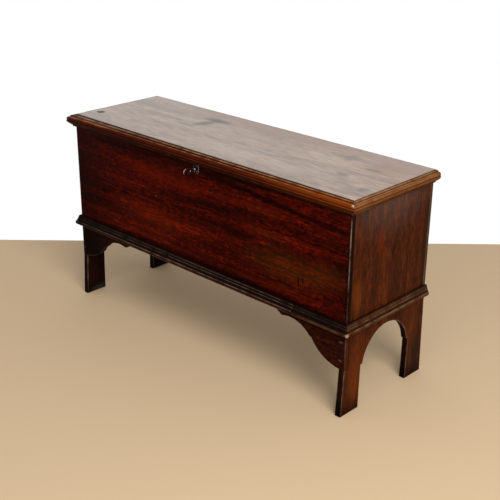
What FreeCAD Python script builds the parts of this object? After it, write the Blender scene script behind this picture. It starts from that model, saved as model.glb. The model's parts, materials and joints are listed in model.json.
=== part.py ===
import FreeCAD, Part
import os
import Sketcher
from FreeCAD import Placement, Rotation, Vector

# A boarded chest on end-board legs: planks nailed together, a moulded lid on strap hinges, a moulded base
# with shaped brackets, and a chest lock worked by a key. Millimetres, +X along the front, -Y to the front,
# +Z up, origin on the floor under the middle of the whole outline, key and hinges included.

doc = FreeCAD.newDocument("blanket_chest")
dims = doc.addObject("Spreadsheet::Sheet", "dims")

# Driving dimensions: alias, value, what it measures
driving = [
    ("case_length", 1150.0, "outer face to outer face of the end boards"),
    ("case_height", 614.0, "floor to the top edge of the boards"),
    ("end_depth", 361.0, "front to back of an end board"),
    ("end_thick", 19.0, "end boards"),
    ("front_thick", 14.0, "front board and brackets"),
    ("back_thick", 11.0, "back board"),
    ("bottom_thick", 14.0, "bottom board"),
    ("bottom_level", 272.0, "floor to the underside of the bottom board"),
    ("housing_depth", 6.0, "groove in the end boards that takes the bottom board"),
    ("board_foot", 262.0, "floor to the lower edge of the front and back boards"),
    ("leg_width", 73.0, "front leg at the springing of the arch"),
    ("back_leg_width", 67.0, "back leg at the springing of the arch"),
    ("leg_splay", 3.0, "lean of the front leg's inner edge, narrower at the floor"),
    ("back_leg_splay", 2.0, "lean of the back leg's inner edge, wider at the floor"),
    ("leg_flare", 8.0, "lean of the outer leg edges towards the floor"),
    ("arch_spring", 135.0, "floor to the springing of the end arch"),
    ("arch_step", 8.0, "shoulder where the arch meets the leg"),
    ("arch_flat", 12.5, "how far the crown of the arch lies below a half round"),
    ("bracket_reach", 258.0, "bracket, from the outer face of the end board"),
    ("bracket_foot", 143.0, "floor to the lowest point of a bracket"),
    ("belly_reach", 120.0, "end of the bracket's rounded belly, from the outer face"),
    ("belly_rise", 58.5, "height of the belly"),
    ("belly_bulge", 10.0, "how far the belly swells past its chord, each way"),
    ("cusp_step", 9.0, "flat between the belly and the hollow"),
    ("cusp_rise", 4.5, "rise of that flat"),
    ("hollow_reach", 100.0, "length of the hollow"),
    ("hollow_rise", 26.0, "height of the hollow"),
    ("hollow_crown", 15.0, "height of the hollow's crown above its chord"),
    ("tip_rise", 20.0, "height of the small round at the bracket's tip"),
    ("tip_bulge", 2.0, "how far that round swells past its chord, each way"),
    ("base_level", 252.0, "floor to the underside of the base moulding"),
    ("base_out", 16.0, "base moulding, projection of its nose"),
    ("base_bead_out", 6.0, "flat top of the base moulding"),
    ("base_bead_fall", 5.0, "height of its top bead"),
    ("base_bead_bulge", 1.8, "swell of its top bead"),
    ("base_quirk", 1.5, "small steps of the base moulding"),
    ("base_hollow_fall", 12.0, "height of its hollow"),
    ("base_hollow_sink", 1.2, "depth of its hollow past the chord, each way"),
    ("base_ledge", 2.5, "ledge above its nose"),
    ("base_nose_fall", 10.0, "height of its flat nose"),
    ("base_round_fall", 9.5, "height of the round under the nose"),
    ("base_round_in", 6.0, "how far the round runs back"),
    ("base_round_bulge", 1.15, "swell of that round, each way"),
    ("base_short", 184.0, "short length of the front base moulding, from its butt joint to the end"),
    ("lid_thick", 20.0, "lid board"),
    ("lid_gap", 1.5, "play between the lid moulding and the boards inside it"),
    ("lid_bead_out", 16.0, "top bead of the lid moulding, width"),
    ("lid_bead_fall", 4.0, "top bead, height"),
    ("lid_bead_bulge", 0.7, "top bead, swell past its chord, each way"),
    ("lid_quirk", 1.5, "small steps of the lid moulding"),
    ("lid_nose_out", 21.8, "nose of the lid moulding, from its back"),
    ("lid_nose_fall", 12.0, "height of the nose"),
    ("lid_nose_back", 3.0, "how far the foot of the nose lies behind its crown"),
    ("lid_ovolo_out", 12.0, "foot of the round under the nose, from the back"),
    ("lid_ovolo_fall", 9.0, "height of that round"),
    ("lid_ovolo_bulge", 1.6, "swell of that round"),
    ("lid_fillet_fall", 2.0, "flat band under that round"),
    ("lid_hollow_fall", 6.5, "height of the hollow near the lower edge"),
    ("lid_hollow_sink", 1.0, "depth of that hollow past its chord, each way"),
    ("lid_lip_out", 4.5, "thickness of the lower lip"),
    ("lid_lip_fall", 2.5, "height of the lower lip"),
    ("nail_head", 5.0, "square head of a board nail"),
    ("nail_tip", 1.5, "square tip of a board nail"),
    ("nail_length", 38.0, "board nails"),
    ("nail_proud", 0.4, "board nail heads above the wood"),
    ("nail_inset", 9.5, "nails from the outer face of the end board"),
    ("nail_top_drop", 28.0, "highest front nail below the top edge"),
    ("nail_foot_rise", 43.0, "lowest front nail above the lower edge"),
    ("bracket_nail_drop", 36.0, "upper bracket nail below the front board"),
    ("bracket_nail_pitch", 56.0, "bracket nails"),
    ("pin_head", 2.2, "square head of a moulding pin"),
    ("pin_tip", 1.0, "square tip of a moulding pin"),
    ("base_pin_length", 26.0, "pins through the base moulding"),
    ("lid_pin_length", 40.0, "pins through the lid moulding"),
    ("lid_pin_sink", 1.0, "lid pins punched below the nose"),
    ("hinge_inset", 175.0, "hinges, from the outer face of the end board"),
    ("hinge_width", 30.0, "strap and leaf"),
    ("hinge_plate", 2.5, "thickness of strap and leaf"),
    ("hinge_gap", 0.5, "knuckles behind the back board"),
    ("knuckle_radius", 4.0, "hinge barrel"),
    ("knuckle_middle", 10.0, "middle knuckle, on the strap"),
    ("knuckle_play", 0.3, "between knuckles"),
    ("hinge_pin_radius", 2.0, "hinge pin"),
    ("pin_hold", 0.02, "pin in the leaf's knuckles, on the radius"),
    ("pin_run", 0.05, "pin in the strap's knuckle and key on its pin, on the radius"),
    ("strap_length", 180.0, "strap under the lid"),
    ("strap_tip", 9.0, "half width of the strap at its clipped tip"),
    ("leaf_length", 95.0, "leaf down the back board"),
    ("hinge_nail_head", 6.0, "square head of a hinge nail"),
    ("hinge_nail_tip", 1.6, "square tip of a hinge nail"),
    ("strap_nail_length", 16.0, "nails through the strap"),
    ("leaf_nail_length", 12.0, "nails through the leaf"),
    ("key_drop", 32.0, "key below the top edge of the front board"),
    ("key_reach", 51.0, "key in front of the front board"),
    ("key_radius", 4.0, "key barrel"),
    ("key_collar_radius", 5.8, "collar on the key"),
    ("key_collar_at", 5.0, "collar in front of the front board"),
    ("key_collar_width", 3.5, "width of the collar"),
    ("key_neck_radius", 3.0, "shank at the bow"),
    ("bow_length", 11.3, "half length of the bow ring, along the key"),
    ("bow_height", 8.5, "half height of the bow ring"),
    ("bow_wire", 1.7, "radius of the bow's wire"),
    ("bit_reach", 11.0, "edge of the key bit, from the key's axis"),
    ("bit_thick", 3.0, "key bit"),
    ("keyhole_ease", 0.6, "play round the key in the keyhole"),
    ("drill_pin_radius", 2.0, "fixed pin that the hollow key turns on"),
    ("lock_skin", 3.0, "wood left in front of the lock case"),
    ("lock_wall", 1.5, "lock case walls"),
    ("lock_plate_thick", 2.0, "lock plate and its top edge"),
    ("lock_margin", 8.0, "lock plate past the case"),
    ("lock_ease", 0.5, "play inside the lock"),
    ("bolt_throw", 9.0, "travel of the bolt"),
    ("bolt_thick", 3.0, "bolt"),
    ("bolt_clear", 2.0, "bolt above the reach of the key bit"),
    ("bolt_rest", 0.2, "bolt above its guide studs"),
    ("arm_width", 4.0, "upright arms of the bolt"),
    ("hook_height", 4.4, "hooks of the bolt"),
    ("hook_gap", 1.0, "hooks short of the staples when unlocked"),
    ("talon_gap", 27.0, "between the bolt's two lugs"),
    ("talon_width", 5.0, "each lug"),
    ("talon_drop", 7.0, "lugs below the bolt"),
    ("stud_radius", 2.0, "guide studs under the bolt"),
    ("staple_at", 20.0, "staples, from the middle of the chest"),
    ("staple_thick", 3.0, "staple, along the front"),
    ("staple_width", 6.5, "staple, front to back"),
    ("staple_drop", 12.5, "staple below the lid"),
    ("staple_wall", 1.5, "staple under its eye"),
    ("eye_height", 6.0, "eye of a staple"),
    ("eye_width", 4.2, "eye of a staple, front to back"),
    ("slot_ease", 1.0, "staple slots, along the front"),
    ("link_length", 80.0, "catch plate under the lid"),
    ("link_width", 14.0, "catch plate, front to back"),
    ("lock_nail_head", 4.5, "square head of a lock nail"),
    ("lock_nail_tip", 1.2, "square tip of a lock nail"),
    ("lock_nail_length", 9.0, "lock nails"),
    ("key_plate_width", 21.0, "escutcheon"),
    ("key_plate_rise", 12.5, "escutcheon above the key's axis"),
    ("key_plate_drop", 16.0, "point of the escutcheon below the key's axis"),
    ("key_plate_side", 4.0, "straight side of the escutcheon below the key's axis"),
    ("key_plate_bulge", 1.8, "swell of its lower edges, each way"),
    ("key_plate_thick", 1.5, "escutcheon"),
    ("key_pin_inset", 3.5, "escutcheon pins from its edges"),
]


class Size:
    """A length as a number, together with the sheet formula that gives it."""

    def __init__(self, number, formula):
        self.number = number
        self.formula = formula

    def __add__(self, other):
        other = as_size(other)
        return Size(self.number + other.number, f"({self.formula} + {other.formula})")

    def __sub__(self, other):
        other = as_size(other)
        return Size(self.number - other.number, f"({self.formula} - {other.formula})")

    def __mul__(self, factor):
        factor = as_size(factor)
        return Size(self.number * factor.number, f"({self.formula} * {factor.formula})")

    def __truediv__(self, divisor):
        return Size(self.number / divisor, f"({self.formula} / {divisor})")

    def __neg__(self):
        return Size(-self.number, f"(-1 * {self.formula})")

    __radd__ = __add__
    __rmul__ = __mul__


def as_size(value):
    """A plain number as a Size."""
    return value if isinstance(value, Size) else Size(float(value), str(float(value)))


class Sheet:
    """The driving dimensions by name, written to the spreadsheet as they are read in."""

    def __init__(self, rows):
        for row, (alias, value, note) in enumerate(rows, 1):
            dims.set(f"A{row}", alias)
            dims.set(f"B{row}", str(value))
            dims.setAlias(f"B{row}", alias)
            dims.set(f"C{row}", note)
            setattr(self, alias, Size(value, f"dims.{alias}"))


s = Sheet(driving)
doc.recompute()

# Places that several pieces share
half = s.case_length / 2
top = s.case_height
lid_top = top + s.lid_thick
depth_behind = s.end_depth + s.hinge_gap + s.knuckle_radius * 2
front = (s.key_reach - depth_behind) / 2
rear = front + s.end_depth
back = rear - s.back_thick
hinge_y = rear + s.hinge_gap + s.knuckle_radius
inner = front + s.front_thick
key_z = top - s.key_drop
hinge_x = half - s.hinge_inset
base_joint = half - s.base_short

turned = {
    "+Y": Rotation(),
    "-Y": Rotation(Vector(0, 0, 1), 180),
    "+X": Rotation(Vector(0, 0, 1), -90),
    "-X": Rotation(Vector(0, 0, 1), 90),
    "+Z": Rotation(Vector(1, 0, 0), 90),
}
cylinder_turned = {
    "+X": Rotation(Vector(0, 1, 0), 90),
    "+Y": Rotation(Vector(1, 0, 0), -90),
    "-Y": Rotation(Vector(1, 0, 0), 90),
    "+Z": Rotation(),
}
nodes = []


def bind(thing, name, value):
    """Tie one property to the sheet."""
    thing.setExpression(name, as_size(value).formula)


def place(thing, x, y, z, rotation=Rotation()):
    """Put a thing at x, y, z, tied to the sheet."""
    thing.Placement = Placement(Vector(0, 0, 0), rotation)
    for axis, value in zip("xyz", (x, y, z)):
        bind(thing, f"Placement.Base.{axis}", value)
    return thing


def node(thing):
    """Keep a finished piece for writing."""
    nodes.append(thing)
    return thing


def box(label, low, high):
    """A box between two corners."""
    made = doc.addObject("Part::Box", label)
    for name, a, b in zip(("Length", "Width", "Height"), low, high):
        bind(made, name, as_size(b) - a)
    return place(made, *low)


def cylinder(label, radius, length, start, direction):
    """A round bar from start along a direction."""
    made = doc.addObject("Part::Cylinder", label)
    bind(made, "Radius", radius)
    bind(made, "Height", length)
    return place(made, *start, cylinder_turned[direction])


def nail(label, length, head, tip, start, direction):
    """A square tapered nail with its head at start, driven along a direction."""
    made = doc.addObject("Part::Wedge", label)
    for axis in "XZ":
        bind(made, f"{axis}min", -head / 2)
        bind(made, f"{axis}max", head / 2)
        bind(made, f"{axis}2min", -tip / 2)
        bind(made, f"{axis}2max", tip / 2)
    bind(made, "Ymin", 0)
    bind(made, "Ymax", length)
    return place(made, *start, turned[direction])


def group(label, members):
    """Like fasteners as one piece of several solids."""
    made = doc.addObject("Part::Compound", label)
    made.Links = members
    return made


def fuse(label, members):
    made = doc.addObject("Part::MultiFuse", label)
    made.Shapes = members
    return made


def cut(label, base, tools):
    """A piece with tools taken out of it, one after another."""
    for count, tool in enumerate(tools, 1):
        last = count == len(tools)
        made = doc.addObject("Part::Cut", label if last else f"{label}_cut{count}")
        made.Base = base
        made.Tool = tool
        base = made
    return base


def body(label):
    return doc.addObject("PartDesign::Body", label)


def sketch(owner, label, role, offset, outline):
    """A closed outline on an origin plane, every corner tied to the sheet.

    The outline is a list of corners (x, y). A corner (via_x, via_y, x, y) is reached by an arc through via.
    """
    plane = [feature for feature in owner.Origin.OriginFeatures if feature.Role == role][0]
    made = owner.newObject("Sketcher::SketchObject", label)
    made.AttachmentSupport = (plane, [""])
    made.MapMode = "FlatFace"
    bind(made, "AttachmentOffset.Base.z", offset)
    corners = [tuple(as_size(value) for value in corner[-2:]) for corner in outline]
    points = [Vector(x.number, y.number, 0) for x, y in corners]
    edges = []
    for index, corner in enumerate(outline):
        start, end = points[index - 1], points[index]
        if len(corner) == 4:
            via = Vector(as_size(corner[0]).number, as_size(corner[1]).number, 0)
            anticlockwise = (via - start).cross(end - via).z > 0
            edges.append(Part.Arc(start, via, end) if anticlockwise else Part.Arc(end, via, start))
        else:
            edges.append(Part.LineSegment(start, end))
    made.addGeometry(edges, False)
    rules = []
    formulas = []

    def fix(edge, position, x, y):
        for kind, value, axis in (("DistanceX", x, -2), ("DistanceY", y, -1)):
            if value.number == 0.0:
                rules.append(Sketcher.Constraint("PointOnObject", edge, position, axis))
            else:
                formulas.append((len(rules), value.formula))
                rules.append(Sketcher.Constraint(kind, edge, position, value.number))

    def position_of(edge, point):
        near_start = made.Geometry[edge].StartPoint.distanceToPoint(point)
        near_end = made.Geometry[edge].EndPoint.distanceToPoint(point)
        return 1 if near_start < near_end else 2

    for index, (x, y) in enumerate(corners):
        following = (index + 1) % len(corners)
        here = position_of(index, points[index])
        there = position_of(following, points[index])
        rules.append(Sketcher.Constraint("Coincident", index, here, following, there))
        fix(index, here, x, y)
        if len(outline[index]) == 4:
            via_x, via_y = (as_size(value) for value in outline[index][:2])
            mark = made.addGeometry(Part.Point(Vector(via_x.number, via_y.number, 0)), True)
            fix(mark, 1, via_x, via_y)
            rules.append(Sketcher.Constraint("PointOnObject", mark, 1, index))
    made.addConstraint(rules)
    for index, formula in formulas:
        made.setExpression(f"Constraints[{index}]", formula)
    return made


def pad(owner, profile, length, symmetric=False):
    made = owner.newObject("PartDesign::Pad", f"{profile.Name}_pad")
    made.Profile = profile
    bind(made, "Length", length)
    if symmetric:
        made.SideType = "Symmetric"
    return made


def pocket(owner, profile):
    """Take a profile out of a body, downwards all the way."""
    made = owner.newObject("PartDesign::Pocket", f"{profile.Name}_pocket")
    made.Profile = profile
    made.Type = "ThroughAll"
    return made


def between(a, b, aside, up):
    """The middle of two corners, moved aside and up: where an arc passes."""
    return ((as_size(a[0]) + b[0]) / 2 + aside, (as_size(a[1]) + b[1]) / 2 + up)


# Nails, made first so that every board they pass through is drilled to fit them

def edge_nails(label, heights, y, direction):
    """Nails into the front or back edges of both end boards."""
    made = []
    for side, sign in (("left", -1), ("right", 1)):
        for count, height in enumerate(heights, 1):
            start = ((half - s.nail_inset) * sign, y, height)
            name = f"{label}_{side}_{count}"
            made.append(nail(name, s.nail_length, s.nail_head, s.nail_tip, start, direction))
    return node(group(label, made))


nail_span = top - s.nail_top_drop - s.board_foot - s.nail_foot_rise
board_nail_heights = [top - s.nail_top_drop - nail_span * share for share in (0, 1 / 3, 2 / 3, 1)]
bracket_nail_heights = [s.board_foot - s.bracket_nail_drop - s.bracket_nail_pitch * step for step in range(2)]
front_nails = edge_nails("front_nails", board_nail_heights, front - s.nail_proud, "+Y")
bracket_nails = edge_nails("bracket_nails", bracket_nail_heights, front - s.nail_proud, "+Y")
back_nails = edge_nails("back_nails", board_nail_heights, rear + s.nail_proud, "-Y")


def make_bottom_nails():
    """Nails through the front and back boards into the edges of the bottom board."""
    made = []
    height = s.bottom_level + s.bottom_thick / 2
    for side, y, direction in (("front", front, "+Y"), ("back", rear + s.nail_proud, "-Y")):
        for count, share in enumerate((-0.8, -0.4, 0, 0.4, 0.8), 1):
            start = (half * share, y, height)
            name = f"bottom_nail_{side}_{count}"
            made.append(nail(name, s.nail_length, s.nail_head, s.nail_tip, start, direction))
    return node(group("bottom_nails", made))


bottom_nails = make_bottom_nails()

# Base moulding: flat top, bead, hollow, ledge, flat nose and a round underneath

base_rise = s.base_bead_fall + s.base_quirk + s.base_hollow_fall + s.base_nose_fall + s.base_round_fall
base_top = s.base_level + base_rise


def base_profile(at):
    """The moulding's section, with at(out, fall) turning its members into sketch corners."""
    bead_top = (s.base_bead_out, 0)
    bead_foot = (s.base_bead_out, s.base_bead_fall)
    quirk = s.base_bead_fall + s.base_quirk
    hollow_top = (s.base_bead_out + s.base_quirk, quirk)
    ledge = quirk + s.base_hollow_fall
    hollow_foot = (s.base_out - s.base_ledge, ledge)
    nose_foot = (s.base_out, ledge + s.base_nose_fall)
    round_foot = (s.base_out - s.base_round_in, base_rise)
    return [
        at(0, 0),
        at(*bead_top),
        at(*between(bead_top, bead_foot, s.base_bead_bulge, 0)) + at(*bead_foot),
        at(s.base_bead_out, quirk),
        at(*hollow_top),
        at(*between(hollow_top, hollow_foot, -s.base_hollow_sink, s.base_hollow_sink)) + at(*hollow_foot),
        at(s.base_out, ledge),
        at(*nose_foot),
        at(*between(nose_foot, round_foot, s.base_round_bulge, s.base_round_bulge)) + at(*round_foot),
        at(0, base_rise),
    ]


def mitre(owner, label, level, corner_x, corner_y, reach, sign, keep):
    """Cut a moulding along the diagonal of a front corner. keep names the length that stays."""
    far_x = (corner_x + reach) * sign
    far_y = corner_y - reach
    near_x = corner_x * sign
    third = (far_x, corner_y) if keep == "front" else (near_x, far_y)
    outline = [(near_x, corner_y), (far_x, far_y), third]
    return pocket(owner, sketch(owner, label, "XY_Plane", level, outline))


def base_pins():
    """Pins through the flat nose of the base moulding into the boards."""
    made = []
    height = base_top - s.base_bead_fall - s.base_quirk - s.base_hollow_fall - s.base_nose_fall / 4
    spots = [base_joint - (half + base_joint) * share for share in (0.1, 0.3, 0.5, 0.7, 0.9)]
    spots += [base_joint + s.base_short * share for share in (0.25, 0.75)]
    for count, x in enumerate(spots, 1):
        start = (x, front - s.base_out, height)
        made.append(nail(f"base_pin_front_{count}", s.base_pin_length, s.pin_head, s.pin_tip, start, "+Y"))
    for side, sign, direction in (("left", -1, "+X"), ("right", 1, "-X")):
        for count, share in enumerate((0.15, 0.5, 0.85), 1):
            start = ((half + s.base_out) * sign, front + s.end_depth * share, height)
            name = f"base_pin_{side}_{count}"
            made.append(nail(name, s.base_pin_length, s.pin_head, s.pin_tip, start, direction))
    return node(group("base_moulding_pins", made))


base_moulding_pins = base_pins()


def base_front(label, start, length, sign):
    """A length of the front base moulding, mitred at the left (-1) or right (+1) corner."""
    owner = body(f"{label}_body")
    profile = sketch(owner, f"{label}_profile", "YZ_Plane", start,
                     base_profile(lambda out, fall: (front - out, base_top - fall)))
    pad(owner, profile, length)
    mitre(owner, f"{label}_mitre", base_top, half, front, s.base_out, sign, "front")
    return node(cut(label, owner, [base_moulding_pins]))


base_front("base_moulding_front_long", -half - s.base_out, half + s.base_out + base_joint, -1)
base_front("base_moulding_front_short", base_joint, s.base_short + s.base_out, 1)


def base_end(label, sign):
    """The base moulding of one end, mitred at the front and flush with the back board."""
    owner = body(f"{label}_body")
    profile = sketch(owner, f"{label}_profile", "XZ_Plane", -rear,
                     base_profile(lambda out, fall: ((half + out) * sign, base_top - fall)))
    pad(owner, profile, rear - front + s.base_out)
    mitre(owner, f"{label}_mitre", base_top, half, front, s.base_out, sign, "end")
    return node(cut(label, owner, [base_moulding_pins]))


base_end("base_moulding_left", -1)
base_end("base_moulding_right", 1)

# Carcass boards

bottom_low = (-half + s.end_thick - s.housing_depth, inner, s.bottom_level)
bottom_high = (half - s.end_thick + s.housing_depth, back, s.bottom_level + s.bottom_thick)
bottom_blank = box("bottom_blank", bottom_low, bottom_high)
node(cut("bottom_board", bottom_blank, [bottom_nails]))

back_blank = box("back_blank", (-half, back, s.board_foot), (half, rear, top))
front_blank = box("front_blank", (-half, front, s.board_foot), (half, inner, top))


def end_board(label, start):
    """An end board standing on its two legs, arched between them and notched for the boards it carries."""
    owner = body(f"{label}_body")
    arch_front = front + s.leg_width + s.arch_step
    arch_back = rear - s.back_leg_width - s.arch_step
    middle = (arch_front + arch_back) / 2
    crown = s.arch_spring + (arch_back - arch_front) / 2 - s.arch_flat
    outline = [
        (front - s.leg_flare, 0),
        (front + s.leg_width - s.leg_splay, 0),
        (front + s.leg_width, s.arch_spring),
        (arch_front, s.arch_spring),
        (middle, crown, arch_back, s.arch_spring),
        (rear - s.back_leg_width, s.arch_spring),
        (rear - s.back_leg_width - s.back_leg_splay, 0),
        (rear + s.leg_flare, 0),
        (rear, s.board_foot),
        (back, s.board_foot),
        (back, top),
        (inner, top),
        (inner, s.bracket_foot),
        (front, s.bracket_foot),
    ]
    pad(owner, sketch(owner, f"{label}_outline", "YZ_Plane", start, outline), s.end_thick)
    drilled = [bottom_blank, front_nails, bracket_nails, back_nails, base_moulding_pins]
    return node(cut(label, owner, drilled))


end_board("left_end_board", -half)
end_board("right_end_board", half - s.end_thick)


def bracket(label, sign):
    """A front bracket: belly, cusp, hollow and rounded tip, from the leg to under the front board."""
    def at(along, height):
        return ((half - along) * sign, height)

    owner = body(f"{label}_body")
    foot = (s.end_thick, s.bracket_foot)
    belly = (s.belly_reach, s.bracket_foot + s.belly_rise)
    cusp = (s.belly_reach + s.cusp_step, belly[1] + s.cusp_rise)
    hollow = (cusp[0] + s.hollow_reach, cusp[1] + s.hollow_rise)
    tip = (s.bracket_reach, hollow[1] + s.tip_rise)
    outline = [
        at(0, s.board_foot),
        at(0, s.bracket_foot),
        at(*foot),
        at(*between(foot, belly, s.belly_bulge, -s.belly_bulge)) + at(*belly),
        at(*cusp),
        at(*between(cusp, hollow, 0, s.hollow_crown)) + at(*hollow),
        at(*between(hollow, tip, s.tip_bulge, -s.tip_bulge)) + at(*tip),
        at(s.bracket_reach, s.board_foot),
    ]
    pad(owner, sketch(owner, f"{label}_outline", "XZ_Plane", -inner, outline), s.front_thick)
    return node(cut(label, owner, [bracket_nails]))


bracket("bracket_left", -1)
bracket("bracket_right", 1)

# Lid moulding: top bead, nose, round, flat band, hollow and lip, hung outside the boards

lid_fall_to_nose = s.lid_bead_fall + s.lid_quirk
lid_fall_to_round = lid_fall_to_nose + s.lid_nose_fall
lid_fall_to_band = lid_fall_to_round + s.lid_ovolo_fall
lid_fall_to_hollow = lid_fall_to_band + s.lid_fillet_fall
lid_fall_to_lip = lid_fall_to_hollow + s.lid_hollow_fall
lid_drop = lid_fall_to_lip + s.lid_lip_fall


def lid_profile(at):
    """The moulding's section, with at(out, fall) turning its members into sketch corners."""
    bead = (s.lid_bead_out, s.lid_bead_fall)
    nose_top = (s.lid_bead_out + s.lid_quirk, lid_fall_to_nose)
    nose_foot = (s.lid_nose_out - s.lid_nose_back, lid_fall_to_round)
    round_top = (s.lid_nose_out - s.lid_nose_back - s.lid_quirk / 2, lid_fall_to_round + s.lid_quirk / 2)
    round_foot = (s.lid_ovolo_out, lid_fall_to_band)
    band_foot = (s.lid_ovolo_out, lid_fall_to_hollow)
    lip = (s.lid_lip_out, lid_fall_to_lip)
    nose_middle = lid_fall_to_nose + s.lid_nose_fall / 2
    return [
        at(0, 0),
        at(*between((0, 0), bead, s.lid_bead_bulge, -s.lid_bead_bulge)) + at(*bead),
        at(s.lid_bead_out, lid_fall_to_nose),
        at(*nose_top),
        at(s.lid_nose_out, nose_middle) + at(*nose_foot),
        at(*round_top),
        at(*between(round_top, round_foot, s.lid_ovolo_bulge, 0)) + at(*round_foot),
        at(*band_foot),
        at(*between(band_foot, lip, -s.lid_hollow_sink, -s.lid_hollow_sink)) + at(*lip),
        at(s.lid_lip_out, lid_drop),
        at(0, lid_drop),
    ]


lid_front = front - s.lid_gap
lid_side = half + s.lid_gap
lid_reach = s.lid_nose_out + s.lid_quirk
lid_mitre_from = lid_top + s.lid_bead_fall


def lid_pins():
    """Pins punched through the nose of the lid moulding into the edges of the lid."""
    made = []
    height = lid_top - lid_fall_to_nose - s.lid_nose_fall / 2
    reach = s.lid_nose_out - s.lid_pin_sink
    for count, share in enumerate((-0.85, -0.5, -0.15, 0.15, 0.5, 0.85), 1):
        start = (half * share, lid_front - reach, height)
        made.append(nail(f"lid_pin_front_{count}", s.lid_pin_length, s.pin_head, s.pin_tip, start, "+Y"))
    for side, sign, direction in (("left", -1, "+X"), ("right", 1, "-X")):
        for count, share in enumerate((0.15, 0.5, 0.85), 1):
            start = ((lid_side + reach) * sign, front + s.end_depth * share, height)
            name = f"lid_pin_{side}_{count}"
            made.append(nail(name, s.lid_pin_length, s.pin_head, s.pin_tip, start, direction))
    return node(group("lid_moulding_pins", made))


lid_moulding_pins = lid_pins()


def lid_moulding_front():
    owner = body("lid_moulding_front_body")
    profile = sketch(owner, "lid_moulding_front_profile", "YZ_Plane", 0,
                     lid_profile(lambda out, fall: (lid_front - out, lid_top - fall)))
    pad(owner, profile, (lid_side + lid_reach) * 2, symmetric=True)
    for side, sign in (("left", -1), ("right", 1)):
        label = f"lid_moulding_front_mitre_{side}"
        mitre(owner, label, lid_mitre_from, lid_side, lid_front, lid_reach, sign, "front")
    return node(cut("lid_moulding_front", owner, [lid_moulding_pins]))


def lid_moulding_end(label, sign):
    owner = body(f"{label}_body")
    profile = sketch(owner, f"{label}_profile", "XZ_Plane", -rear,
                     lid_profile(lambda out, fall: ((lid_side + out) * sign, lid_top - fall)))
    pad(owner, profile, rear - lid_front + lid_reach)
    mitre(owner, f"{label}_mitre", lid_mitre_from, lid_side, lid_front, lid_reach, sign, "end")
    return node(cut(label, owner, [lid_moulding_pins]))


lid_moulding_front()
lid_moulding_end("lid_moulding_left", -1)
lid_moulding_end("lid_moulding_right", 1)

# Hinges: a strap let into the underside of the lid, a leaf down the back board, a pin through both

hinge_sides = (("left", -1), ("right", 1))
strap_wide_from = rear - s.hinge_plate
strap_tip = rear - s.strap_length
strap_nail_places = [strap_wide_from - s.strap_length * share for share in (0.12, 0.45, 0.82)]
leaf_nail_places = [top - s.leaf_length * share for share in (0.25, 0.52, 0.8)]


def make_strap_nails():
    made = []
    for side, sign in hinge_sides:
        for count, y in enumerate(strap_nail_places, 1):
            start = (hinge_x * sign, y, top)
            name = f"strap_nail_{side}_{count}"
            made.append(nail(name, s.strap_nail_length, s.hinge_nail_head, s.hinge_nail_tip, start, "+Z"))
    return node(group("strap_nails", made))


def make_leaf_nails():
    made = []
    for side, sign in hinge_sides:
        for count, z in enumerate(leaf_nail_places, 1):
            start = (hinge_x * sign, rear + s.hinge_plate, z)
            name = f"leaf_nail_{side}_{count}"
            made.append(nail(name, s.leaf_nail_length, s.hinge_nail_head, s.hinge_nail_tip, start, "-Y"))
    return node(group("leaf_nails", made))


strap_nails = make_strap_nails()
leaf_nails = make_leaf_nails()


def hinge_bore(label, middle, play):
    """The hole for a hinge pin, right through the barrel."""
    start = (middle - s.hinge_width, hinge_y, top)
    return cylinder(label, s.hinge_pin_radius + play, s.hinge_width * 2, start, "+X")


def hinge_strap(side, sign):
    """The lid's half of a hinge: a tapering strap with a clipped tip and the middle knuckle."""
    label = f"{side}_hinge_strap"
    middle = hinge_x * sign
    root = s.knuckle_middle / 2
    wide = s.hinge_width / 2
    tip = s.strap_tip
    outline = [
        (middle - root, hinge_y),
        (middle - root, strap_wide_from),
        (middle - wide, strap_wide_from),
        (middle - tip, strap_tip + tip),
        (middle - tip / 2, strap_tip),
        (middle + tip / 2, strap_tip),
        (middle + tip, strap_tip + tip),
        (middle + wide, strap_wide_from),
        (middle + root, strap_wide_from),
        (middle + root, hinge_y),
    ]
    owner = body(f"{label}_plate")
    pad(owner, sketch(owner, f"{label}_outline", "XY_Plane", top, outline), s.hinge_plate)
    start = (middle - root, hinge_y, top)
    barrel = cylinder(f"{label}_barrel", s.knuckle_radius, s.knuckle_middle, start, "+X")
    blank = fuse(f"{label}_blank", [owner, barrel])
    tools = [hinge_bore(f"{label}_bore", middle, s.pin_run), strap_nails]
    node(cut(label, blank, tools))
    return blank


def hinge_leaf(side, sign):
    """The chest's half of a hinge: a leaf with a rounded foot and the two outer knuckles."""
    label = f"{side}_hinge_leaf"
    middle = hinge_x * sign
    notch = s.knuckle_middle / 2 + s.knuckle_play
    notch_foot = top - s.knuckle_radius - s.hinge_gap
    wide = s.hinge_width / 2
    foot = top - s.leaf_length
    outline = [
        (middle - wide, top),
        (middle - wide, foot + wide),
        (middle, foot, middle + wide, foot + wide),
        (middle + wide, top),
        (middle + notch, top),
        (middle + notch, notch_foot),
        (middle - notch, notch_foot),
        (middle - notch, top),
    ]
    owner = body(f"{label}_plate")
    profile = sketch(owner, f"{label}_outline", "XZ_Plane", -rear - s.hinge_plate, outline)
    pad(owner, profile, s.hinge_plate).Reversed = False
    knuckle = wide - notch
    barrels = []
    for name, x in (("low", middle - wide), ("high", middle + notch)):
        barrels.append(cylinder(f"{label}_{name}", s.knuckle_radius, knuckle, (x, hinge_y, top), "+X"))
    blank = fuse(f"{label}_blank", [owner] + barrels)
    return node(cut(label, blank, [hinge_bore(f"{label}_bore", middle, s.pin_hold), leaf_nails]))


strap_blanks = []
for hinge_side, hinge_sign in hinge_sides:
    strap_blanks.append(hinge_strap(hinge_side, hinge_sign))
    hinge_leaf(hinge_side, hinge_sign)
    pin_start = (hinge_x * hinge_sign - s.hinge_width / 2, hinge_y, top)
    node(cylinder(f"{hinge_side}_hinge_pin", s.hinge_pin_radius, s.hinge_width, pin_start, "+X"))

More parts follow.
